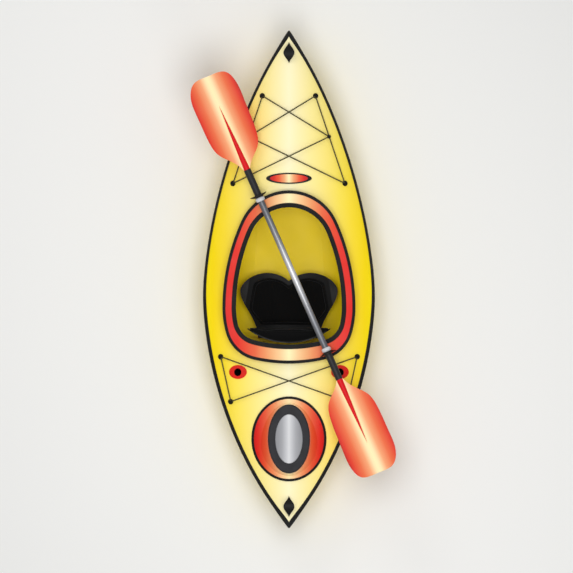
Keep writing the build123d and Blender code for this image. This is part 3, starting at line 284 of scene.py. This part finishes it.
def anodised_tube(name):
    """Drawn and anodised aluminium tube: a painted highlight at the grip and painted shade darkening
    towards the sleeves, fine lines along the draw."""
    material, tree, shader = new_material(name)
    place = object_place(tree)
    moved = add(tree, "ShaderNodeMapping", {"Vector": place, "Location": SHAFT_SHIFT,
                                            "Rotation": (0, 0, SHAFT_TURN)})
    reach = axis_reach(tree, moved.outputs["Vector"], "Y", TUBE_SHOWN)
    # painted highlight and shade: pale at the shaft's middle, darker towards the drip rings
    tree.links.new(blend_stops(tree, reach, GREY_TUBE), shader.inputs["Base Color"])
    stretch = add(tree, "ShaderNodeMapping", {"Vector": moved.outputs["Vector"], "Scale": (1, 0.02, 1)})
    lines = grain(tree, stretch.outputs["Vector"], 1.5, 2.0)
    drawn = add(tree, "ShaderNodeMapRange", {"Value": lines.outputs["Fac"], "To Min": 0.3,
                                             "To Max": 0.46})
    tree.links.new(drawn.outputs["Result"], shader.inputs["Roughness"])
    shader.inputs["Metallic"].default_value = 0.45
    return material


def brushed_metal(name, colour):
    """Bare metal of the given colour, lightly brushed."""
    material, tree, shader = new_material(name)
    shader.inputs["Base Color"].default_value = srgb(colour)
    tree.links.new(scuffed(tree, object_place(tree), 0.32, 0.06), shader.inputs["Roughness"])
    shader.inputs["Metallic"].default_value = 1.0
    return material


def blade_nylon(name, turn, shift):
    """Glass-filled nylon blade: red at the edges, a painted highlight paling it along the middle, a deep
    red spine, short glass flecks."""
    material, tree, shader = new_material(name)
    place = object_place(tree)
    moved = add(tree, "ShaderNodeMapping", {"Vector": place, "Location": shift, "Rotation": (0, 0, turn)})
    split = add(tree, "ShaderNodeSeparateXYZ", {"Vector": moved.outputs["Vector"]})
    across = axis_reach(tree, moved.outputs["Vector"], "X", BLADE_HALF)
    # painted highlight: pale along the blade's middle, red towards its edges
    skin = blend_stops(tree, across, RED_BLADE)
    # the spine narrows evenly from its root to nothing
    along = add(tree, "ShaderNodeMath", {0: split.outputs["Y"], 1: SPINE_ROOT}, operation="SUBTRACT")
    run = add(tree, "ShaderNodeMath", {0: along.outputs[0], 1: -1 / SPINE_RUN, 2: 1.0},
              operation="MULTIPLY_ADD")
    half = add(tree, "ShaderNodeMath", {0: run.outputs[0], 1: SPINE_HALF}, operation="MULTIPLY")
    away = add(tree, "ShaderNodeMath", {0: split.outputs["X"]}, operation="ABSOLUTE")
    inside = add(tree, "ShaderNodeMath", {0: away.outputs[0], 1: half.outputs[0]}, operation="LESS_THAN")
    mixed = add(tree, "ShaderNodeMix", {0: inside.outputs[0], 6: skin, 7: srgb("#D80A18")},
                data_type="RGBA")
    tree.links.new(mixed.outputs[2], shader.inputs["Base Color"])
    tree.links.new(scuffed(tree, place, 0.46, 0.05), shader.inputs["Roughness"])
    shader.inputs["Specular IOR Level"].default_value = DULL
    flecks = grain(tree, place, 3.0, 2.0)
    tree.links.new(relief(tree, flecks.outputs["Fac"], 0.08, 0.3), shader.inputs["Normal"])
    shader.inputs["IOR"].default_value = NYLON_IOR
    return material


# paddle frame, from the joint that turns the stern half on the shaft's own line
feather = next(j for j in frame["joints"] if j["name"] == "paddle_feather")
shaft_line = Vector(feather["axis"]).normalized()
shaft_middle = Vector(feather["pos_m"])
SHAFT_TURN = -math.atan2(-shaft_line.x, shaft_line.y)
turned = Matrix.Rotation(SHAFT_TURN, 3, "Z") @ shaft_middle
SHAFT_SHIFT = (-turned.x, -turned.y, 0.0)


# painted highlights and shade, from the centreline out to each moulding's edge (flat for the hull and rod
# holders): (share of its half width, colour)
# painted highlight: cream along the deck's crown, full yellow towards the sides
YELLOW = [(0.0, "#FFF6C8"), (0.106, "#FFF2B6"), (0.265, "#FFEE9A"), (0.458, "#FFE97A"), (0.6, "#FFE75A"),
          (0.747, "#FFE238"), (0.89, "#FFE00C"), (1.0, "#FFE700")]
YELLOW_HULL = [(0.0, "#FFE100"), (0.6, "#FFE200"), (1.0, "#FFE200")]
# painted highlight: pale cream at the middle of the coaming rim, full red towards its sides
RED = [(0.0, "#FFF0B8"), (0.135, "#F9CD94"), (0.255, "#F2B076"), (0.36, "#EE935A"), (0.525, "#E66032"),
       (0.69, "#E43E18"), (0.8, "#E2220C"), (1.0, "#DE0C04")]
# painted highlight and shade: pale near the cover, darkening to deep red at the flange's outer edge
RED_HATCH = [(0.0, "#FFE7AE"), (0.25, "#F8B880"), (0.45, "#EE8652"), (0.66, "#E3522A"), (0.79, "#DC361A"),
             (0.9, "#DC1A0C"), (1.0, "#C61006")]
# painted highlight: pale in the badge's middle, deep red at its tips
RED_BADGE = [(0.0, "#FFF0B8"), (0.25, "#F2A46E"), (0.52, "#EC5C30"), (0.78, "#DC1C0C"), (1.0, "#C41006")]
RED_HOLDER = [(0.0, "#DA2010"), (1.0, "#DA2010")]
# painted highlight along the blade's middle
RED_BLADE = [(0.0, "#FFECB6"), (0.1, "#FFE4B0"), (0.2, "#FAC896"), (0.32, "#F2A06E"), (0.6, "#E8693A"),
             (0.88, "#DC2E10"), (1.0, "#BC1206")]
# painted highlight and shade: pale at the domed lid's middle, darker towards its sides
GREY_LID = [(0.0, "#D5D6D8"), (0.22, "#BEBFC3"), (0.5, "#A0A1A5"), (0.8, "#8E8F93"), (1.0, "#88898D")]
# painted highlight at the shaft's middle, painted shade towards its ends
GREY_TUBE = [(0.0, "#D6D6D8"), (0.2, "#BCBDC0"), (0.45, "#8E8F93"), (0.7, "#75777C"), (1.0, "#5C5F65")]
# half width that each moulding's painted highlight spans
HULL_HALF, RIM_HALF, HATCH_HALF, BADGE_HALF, LID_HALF = 0.415, 0.315, 0.172, 0.093, 0.068


def paint_cad():
    """The finishes of every carried-over CAD node."""
    deck = rotomoulded_polyethylene("yellow polyethylene deck with painted highlight", YELLOW, HULL_HALF)
    hull = rotomoulded_polyethylene("yellow polyethylene hull", YELLOW_HULL, HULL_HALF, scraped=True)
    rim_red = rotomoulded_polyethylene("red rim plastic with painted highlight", RED, RIM_HALF)
    hatch_red = rotomoulded_polyethylene("red hatch plastic with painted highlight and shade", RED_HATCH, HATCH_HALF)
    badge_red = rotomoulded_polyethylene("red badge plastic with painted highlight", RED_BADGE, BADGE_HALF)
    holder_red = rotomoulded_polyethylene("red rod holder plastic", RED_HOLDER, HULL_HALF)
    lid = rotomoulded_polyethylene("grey lid plastic with painted highlight and shade", GREY_LID, LID_HALF)
    rubber = extruded_rubber("black extruded rubber")
    # painted highlight: the hatch cover is black rubber, coloured charcoal all over to stand in for the
    # sheen on its raised ring
    cover = extruded_rubber("black rubber painted charcoal as its highlight", "#28282B", "#333337")
    sleeve = moulded_nylon("charcoal ribbed sleeve nylon", "#262628", 0.46)
    hub = moulded_nylon("light grey drip ring rubber", "#CFD0D3", 0.4, 3.0)
    foam = closed_cell_foam("charcoal closed cell foam")
    cord = braided_cord("olive braided shock cord")
    tube = anodised_tube("anodised aluminium tube")
    steel = brushed_metal("pressed stainless steel", "#B9BABC")
    brass = brushed_metal("turned brass", "#C8A24E")
    blade = blade_nylon("red blade nylon with painted highlight", SHAFT_TURN, SHAFT_SHIFT)
    stern_turn = SHAFT_TURN + math.pi
    at = Matrix.Rotation(stern_turn, 3, "Z") @ shaft_middle
    blade_stern = blade_nylon("red blade nylon stern with painted highlight", stern_turn, (-at.x, -at.y, 0.0))
    finishes = {
        deck: ["deck_shell"],
        hull: ["hull_shell"],
        rim_red: ["cockpit_rim"],
        hatch_red: ["hatch_flange", "hatch_screws"],
        badge_red: ["deck_badge"],
        holder_red: ["rod_holder_port", "rod_holder_starboard", "rod_holder_screws"],
        lid: ["hatch_lid"],
        rubber: ["gunwale_trim", "rim_lip", "rim_edging", "hatch_gasket"],
        cover: ["hatch_cover_ring"],
        nylon_black: ["badge_bezel", "bow_handle", "stern_handle", "fore_cord_eyes", "aft_cord_eyes",
                      "cord_clips", "backrest_brackets", "foot_rail_port", "foot_rail_starboard",
                      "foot_peg_port", "foot_peg_starboard", "drain_socket", "drain_plug", "seat_pan",
                      "backrest_shell", "cord_eye_screws", "ferrule_button", "drip_cup_bow",
                      "drip_cup_stern"],
        sleeve: ["shaft_sleeve_bow", "shaft_sleeve_stern"],
        hub: ["drip_hub_bow", "drip_hub_stern"],
        foam: ["rear_bulkhead", "bow_pillar", "thigh_pad_port", "thigh_pad_starboard"],
        cord: ["fore_deck_cord", "aft_deck_cord"],
        tube: ["paddle_shaft_bow", "paddle_shaft_stern", "paddle_ferrule"],
        steel: ["foot_rail_screws", "seat_bolts", "backrest_pins", "rim_rivets"],
        brass: ["seat_inserts"],
        blade: ["paddle_blade_bow"],
        blade_stern: ["paddle_blade_stern"],
    }
    for material, names in finishes.items():
        for name in names:
            mesh = nodes[name].data
            mesh.materials.clear()
            mesh.materials.append(material)
    for name in ("rod_holder_port", "rod_holder_starboard"):
        blacken_tube(name)


def blacken_tube(name):
    """A rod holder's tube in black nylon under its coloured flange."""
    mesh = nodes[name].data
    mesh.materials.append(nylon_black)
    top = max(v.co.z for v in mesh.vertices)
    for face in mesh.polygons:
        if face.center.z < top - HOLDER_FLANGE:
            face.material_index = 1


# ------------------------------------------------------------------ repeats and piping
def geometry_tree(name, sizes):
    """An empty geometry tree with a geometry input, its named inputs and a Finish material.

    Returns the tree, the input and output nodes and each input's identifier by name.
    """
    tree = bpy.data.node_groups.new(name, "GeometryNodeTree")
    face = tree.interface
    face.new_socket("Geometry", in_out="INPUT", socket_type="NodeSocketGeometry")
    face.new_socket("Geometry", in_out="OUTPUT", socket_type="NodeSocketGeometry")
    keys = {}
    for label, value in sizes.items():
        kind = "NodeSocketInt" if isinstance(value, int) else "NodeSocketFloat"
        keys[label] = face.new_socket(label, in_out="INPUT", socket_type=kind).identifier
    finish = face.new_socket("Finish", in_out="INPUT", socket_type="NodeSocketMaterial")
    keys["Finish"] = finish.identifier
    return tree, tree.nodes.new("NodeGroupInput"), tree.nodes.new("NodeGroupOutput"), keys


def finish_tree(tree, given, result, shape):
    """Realize Instances and Set Material close every tree."""
    real = add(tree, "GeometryNodeRealizeInstances", {"Geometry": shape})
    shaded = add(tree, "GeometryNodeSetShadeSmooth", {"Geometry": real.outputs["Geometry"]})
    coated = add(tree, "GeometryNodeSetMaterial", {"Geometry": shaded.outputs["Geometry"],
                                                   "Material": given.outputs["Finish"]})
    tree.links.new(coated.outputs["Geometry"], result.inputs["Geometry"])


def stitch_tree(sizes):
    """Lozenge stitches laid end to end along a line."""
    tree, given, result, keys = geometry_tree("stitches", sizes)
    line = add(tree, "GeometryNodeMeshToCurve", {"Mesh": given.outputs["Geometry"]})
    even = add(tree, "GeometryNodeResampleCurve", {"Curve": line.outputs["Curve"],
                                                   "Length": given.outputs["Spacing"]}, mode="LENGTH")
    along = add(tree, "GeometryNodeInputTangent")
    turned_to = add(tree, "FunctionNodeAlignRotationToVector", {"Vector": along.outputs["Tangent"]},
                    axis="Z")
    lozenge = add(tree, "GeometryNodeMeshIcoSphere", {"Radius": 1.0, "Subdivisions": 1})
    sizes_of = add(tree, "ShaderNodeCombineXYZ", {"X": given.outputs["Thread radius"],
                                                  "Y": given.outputs["Thread radius"],
                                                  "Z": given.outputs["Half length"]})
    set_in = add(tree, "GeometryNodeInstanceOnPoints", {"Points": even.outputs["Curve"],
                                                        "Instance": lozenge.outputs["Mesh"],
                                                        "Rotation": turned_to.outputs["Rotation"],
                                                        "Scale": sizes_of.outputs["Vector"]})
    finish_tree(tree, given, result, set_in.outputs["Instances"])
    return tree, keys


def round_bar(tree, line, radius, sides):
    """A solid bar of the given radius along a line."""
    ring = add(tree, "GeometryNodeCurvePrimitiveCircle", {"Radius": radius, "Resolution": sides})
    return add(tree, "GeometryNodeCurveToMesh", {"Curve": line, "Profile Curve": ring.outputs["Curve"],
                                                 "Fill Caps": True})


def piping_tree(sizes):
    """A round cord in a sleeve of cover cloth, sewn along a pad's edge."""
    tree, given, result, keys = geometry_tree("piping", sizes)
    line = add(tree, "GeometryNodeMeshToCurve", {"Mesh": given.outputs["Geometry"]})
    even = add(tree, "GeometryNodeResampleCurve", {"Curve": line.outputs["Curve"],
                                                   "Length": given.outputs["Spacing"]}, mode="LENGTH")
    tube = round_bar(tree, even.outputs["Curve"], given.outputs["Radius"], 10)
    finish_tree(tree, given, result, tube.outputs["Mesh"])
    return tree, keys


def tread_tree(sizes):
    """Round bars in a column, the grip on a foot peg's face."""
    tree, given, result, keys = geometry_tree("peg tread", sizes)
    step = add(tree, "ShaderNodeCombineXYZ", {"Z": given.outputs["Pitch"]})
    half = add(tree, "ShaderNodeMath", {0: given.outputs["Length"], 1: 0.5}, operation="MULTIPLY")
    minus = add(tree, "ShaderNodeMath", {0: given.outputs["Length"], 1: -0.5}, operation="MULTIPLY")
    left = add(tree, "ShaderNodeCombineXYZ", {"X": minus.outputs[0]})
    right = add(tree, "ShaderNodeCombineXYZ", {"X": half.outputs[0]})
    run = add(tree, "GeometryNodeCurvePrimitiveLine", {"Start": left.outputs["Vector"],
                                                       "End": right.outputs["Vector"]})
    bar = round_bar(tree, run.outputs["Curve"], given.outputs["Radius"], 12)
    column = add(tree, "GeometryNodeMeshLine", {"Count": given.outputs["Count"],
                                                "Offset": step.outputs["Vector"]})
    bars = add(tree, "GeometryNodeInstanceOnPoints", {"Points": column.outputs["Mesh"],
                                                      "Instance": bar.outputs["Mesh"]})
    finish_tree(tree, given, result, bars.outputs["Instances"])
    return tree, keys


def grown(name, points, make_tree, sizes, finish, closed=True):
    """The plain mesh that a geometry tree makes from a line through the points."""
    mesh = bpy.data.meshes.new(name + "_line")
    edges = [(i, i + 1) for i in range(len(points) - 1)] + ([(len(points) - 1, 0)] if closed else [])
    mesh.from_pydata(points, edges, [])
    piece = bpy.data.objects.new(name, mesh)
    bpy.context.scene.collection.objects.link(piece)
    tree, keys = make_tree(sizes)
    mod = piece.modifiers.new("maker", "NODES")
    mod.node_group = tree
    for label, value in sizes.items():
        mod[keys[label]] = value
    mod[keys["Finish"]] = finish
    bake(piece)
    return piece


# ------------------------------------------------------------------ padded pieces
WELD = 0.05 * MM
SKIN_VOXEL = 4.5 * MM
COVER_SHRINK = 3.0 * MM  # how far the cover starts under its CAD face
COVER_RISE = 5.0 * MM  # how far the stuffing may push it out again
STUFFING_FRAMES = 18
GLUED_FACING = 0.5  # cosine within which a face counts as lying on its backing
CHANNEL_FACING = 0.3
CHANNEL_WIDTH, CHANNEL_DEPTH = 4.5 * MM, 3.0 * MM
PIPING_INSET, PIPING_LIFT = 4.0 * MM, 0.5 * MM
SEAM_INSET, SEAM_LIFT = 13.0 * MM, 0.35 * MM
EYE_AWAY = 0.4  # where the rays that look for a pad's outline start
NEAREST_EDGE, FARTHEST_EDGE = 0.02, 0.3  # from the middle of a pad
HALVINGS = 16


def welded_copy(node, name):
    """A closed, welded copy of a CAD node's mesh as a new piece."""
    mesh = nodes[node].data.copy()
    mesh.name = name
    shape = bmesh.new()
    shape.from_mesh(mesh)
    bmesh.ops.remove_doubles(shape, verts=shape.verts, dist=WELD)
    bmesh.ops.recalc_face_normals(shape, faces=shape.faces)
    shape.to_mesh(mesh)
    shape.free()
    piece = bpy.data.objects.new(name, mesh)
    bpy.context.scene.collection.objects.link(piece)
    return piece


def bake(piece):
    """The piece's modifiers applied to its mesh."""
    bpy.context.view_layer.update()
    seen = piece.evaluated_get(bpy.context.evaluated_depsgraph_get())
    done = bpy.data.meshes.new_from_object(seen)
    piece.modifiers.clear()
    piece.data = done
    return done


def remeshed(piece, voxel):
    """The piece's mesh made again from even squares."""
    mod = piece.modifiers.new("even skin", "REMESH")
    mod.mode = "VOXEL"
    mod.voxel_size = voxel
    return bake(piece)


def stuffed(piece, backing, shrink, cap):
    """The cover blown up by its foam, glued down on the side that faces backing.

    No point ends up more than cap from where it started.
    """
    mesh = piece.data
    glued = piece.vertex_groups.new(name="glued side")
    normals = [v.normal.copy() for v in mesh.vertices]
    for vertex, normal in zip(mesh.vertices, normals):
        if normal.dot(backing) > GLUED_FACING:
            glued.add([vertex.index], 1.0, "REPLACE")
        else:
            vertex.co -= normal * shrink
    start = [v.co.copy() for v in mesh.vertices]
    cloth = piece.modifiers.new("cover", "CLOTH")
    cloth.settings.quality = 4
    cloth.settings.vertex_group_mass = "glued side"
    cloth.settings.use_pressure = True
    cloth.settings.uniform_pressure_force = 4.0
    cloth.settings.effector_weights.gravity = 0
    cloth.settings.bending_stiffness = 1.0
    for step in range(1, STUFFING_FRAMES + 1):
        bpy.context.scene.frame_set(step)
    done = bake(piece)
    for vertex, home in zip(done.vertices, start):
        moved = vertex.co - home
        if moved.length > cap:
            vertex.co = home + moved.normalized() * cap
    bpy.context.scene.frame_set(1)
    piece.vertex_groups.clear()
    return done


def smoothed(piece):
    """The piece's mesh divided once and rounded."""
    mod = piece.modifiers.new("finer cloth", "SUBSURF")
    mod.levels = mod.render_levels = 1
    return bake(piece)


def pulled_in(mesh, value, axis, width, depth, face):
    """Presses one sewn channel into the side that faces face, at a station along an axis."""
    normals = [v.normal.copy() for v in mesh.vertices]
    for vertex, normal in zip(mesh.vertices, normals):
        away = (vertex.co[axis] - value) / width
        if normal.dot(face) > CHANNEL_FACING:
            vertex.co -= normal * (depth * math.exp(-away * away))


def rim_of(piece, middle, across, up, look, inset, lift, count=120):
    """Points round a pad's visible face: inset from its outline and lifted off the cloth."""
    view = BVHTree.FromObject(piece, bpy.context.evaluated_depsgraph_get())
    found = []
    for i in range(count):
        angle = 2 * math.pi * i / count
        ray = across * math.cos(angle) + up * math.sin(angle)
        inside, outside = NEAREST_EDGE, FARTHEST_EDGE
        for _ in range(HALVINGS):
            half_way = (inside + outside) / 2
            hit = view.ray_cast(middle + ray * half_way - look * EYE_AWAY, look)[0]
            inside, outside = (half_way, outside) if hit else (inside, half_way)
        spot, normal = view.ray_cast(middle + ray * (inside - inset) - look * EYE_AWAY, look)[:2]
        found.append(spot + normal * lift)
    soft = [(found[i - 1] + found[i] * 2 + found[(i + 1) % count]) / 4 for i in range(count)]
    return [tuple(p) for p in soft]


def padded_piece(node, name, body, backing, channels, middle, across, up):
    """A sewn pad in place of its CAD solid: crowned face, channels, piping and a row of stitches."""
    piece = welded_copy(node, name)
    remeshed(piece, SKIN_VOXEL)
    stuffed(piece, backing, COVER_SHRINK, COVER_RISE)
    mesh = smoothed(piece)
    for value in channels:
        pulled_in(mesh, value, 0, CHANNEL_WIDTH, CHANNEL_DEPTH, -backing)
    mesh.materials.clear()
    mesh.materials.append(woven)
    for face in mesh.polygons:
        face.use_smooth = True
    bpy.context.view_layer.update()
    edge = rim_of(piece, middle, across, up, backing, PIPING_INSET, PIPING_LIFT)
    seam = rim_of(piece, middle, across, up, backing, SEAM_INSET, SEAM_LIFT)
    piping = grown(name + "_piping", edge, piping_tree, PIPING, woven)
    stitches = grown(name + "_stitches", seam, stitch_tree, STITCHES, thread)
    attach(piece, body)
    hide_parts(node)
    for trim in (piping, stitches):
        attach(trim, body)


def peg_tread(node, joint_name):
    """Grip bars across the face of a foot peg, in the peg's own nylon."""
    joint = next(j for j in frame["joints"] if j["name"] == joint_name)
    run = Vector(joint["axis"]).normalized()
    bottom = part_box(node)[0][2] + PEG_MARGIN
    # outboard, level and square to the slide
    side = Vector((run.y, -run.x, 0)) if run.x < 0 else Vector((-run.y, run.x, 0))
    corners = [v.co for v in nodes[node].data.vertices]
    inner = min(c.dot(side) for c in corners)
    face = min(c.dot(run) for c in corners if c.dot(side) < inner + PEG_FACE)
    foot = side * (inner + PEG_FACE / 2) + run * face
    tread = grown(node + "_tread", [(0, 0, 0)], tread_tree, TREAD, nylon_black, closed=False)
    turn = Matrix.Rotation(math.atan2(side.y, side.x), 4, "Z")
    tread.data.transform(Matrix.Translation((foot.x, foot.y, bottom)) @ turn)
    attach(tread, node)


SEAT_MIDDLE, BACK_MIDDLE = Vector((0, -0.06, 0.1)), Vector((0, -0.2, 0.224))
SEAT_CHANNELS, BACK_CHANNELS = (-0.08, 0.08), (-0.11, 0.11)  # stations across the boat
PIPING = {"Spacing": 4.0 * MM, "Radius": 2.6 * MM}
STITCHES = {"Spacing": 6.0 * MM, "Thread radius": 0.7 * MM, "Half length": 2.3 * MM}
TREAD = {"Count": 7, "Pitch": 12.0 * MM, "Length": 44.0 * MM, "Radius": 1.8 * MM}
PEG_FACE = 62.0 * MM  # how far the peg's face reaches from its inboard end
PEG_MARGIN = 12.0 * MM  # from the peg's bottom to its lowest bar
HOLDER_FLANGE = 40.0 * MM  # height that a rod holder's sloping flange takes up


# ------------------------------------------------------------------ stage, light, camera
FLOOR_SIZE, FLOOR_GAP = 60, 0.0005
AIM = Vector((0, 0, 0.2))  # what the lamps point at
VIEW_WIDTH = 2.808
EYE_PLACE = (-0.012, 0.017, 9.0)
FAR_CLIP = 50


def studio():
    """Pale floor, soft overhead light and a camera looking straight down."""
    bpy.ops.mesh.primitive_plane_add(size=FLOOR_SIZE, location=(0, 0, -FLOOR_GAP))
    floor = bpy.context.object
    floor.name = "studio_floor"
    material, tree, shader = new_material("pale studio floor")
    shader.inputs["Base Color"].default_value = srgb("#F2F2F0")
    shader.inputs["Roughness"].default_value = 0.95
    floor.data.materials.append(material)
    world = bpy.data.worlds.new("soft studio")
    world.use_nodes = True
    world.node_tree.nodes["Background"].inputs["Color"].default_value = srgb("#FFFFFF")
    world.node_tree.nodes["Background"].inputs["Strength"].default_value = WORLD
    bpy.context.scene.world = world
    # plain display colours, so that each finish shows as its own hex value
    bpy.context.scene.view_settings.view_transform = "Standard"
    for name, place, size, power in LAMPS:
        lamp = bpy.data.lights.new(name, "AREA")
        lamp.size, lamp.energy = size, power
        lamp.color = (1.0, 1.0, 1.0)
        holder = bpy.data.objects.new(name, lamp)
        holder.location = place
        holder.rotation_euler = (AIM - Vector(place)).to_track_quat("-Z", "Y").to_euler()
        bpy.context.scene.collection.objects.link(holder)
    eye = bpy.data.cameras.new("overhead")
    eye.type = "ORTHO"
    eye.ortho_scale = VIEW_WIDTH
    eye.clip_end = FAR_CLIP
    camera = bpy.data.objects.new("overhead", eye)
    camera.location = EYE_PLACE
    bpy.context.scene.collection.objects.link(camera)
    bpy.context.scene.camera = camera


WORLD = 0.47
LAMPS = [
    ("ceiling softbox", (0.0, -0.25, 5.0), 2.8, 112.0),
    ("bow softbox", (-1.5, 3.4, 3.2), 2.0, 26.0),
    ("stern softbox", (1.2, -3.4, 3.2), 2.0, 22.0),
]

woven = woven_cover("black woven polyester cover")
thread = sewing_thread("charcoal bonded nylon thread")
nylon_black = moulded_nylon("black moulded nylon")
paint_cad()
padded_piece("seat_cushion", "seat_pad", "hull", DOWN, SEAT_CHANNELS, SEAT_MIDDLE, SIDEWAYS, FORWARD)
padded_piece("backrest_cushion", "backrest_pad", "backrest", -FORWARD, BACK_CHANNELS, BACK_MIDDLE,
             SIDEWAYS, -DOWN)
peg_tread("foot_peg_port", "peg_slide_port")
peg_tread("foot_peg_starboard", "peg_slide_starboard")
studio()
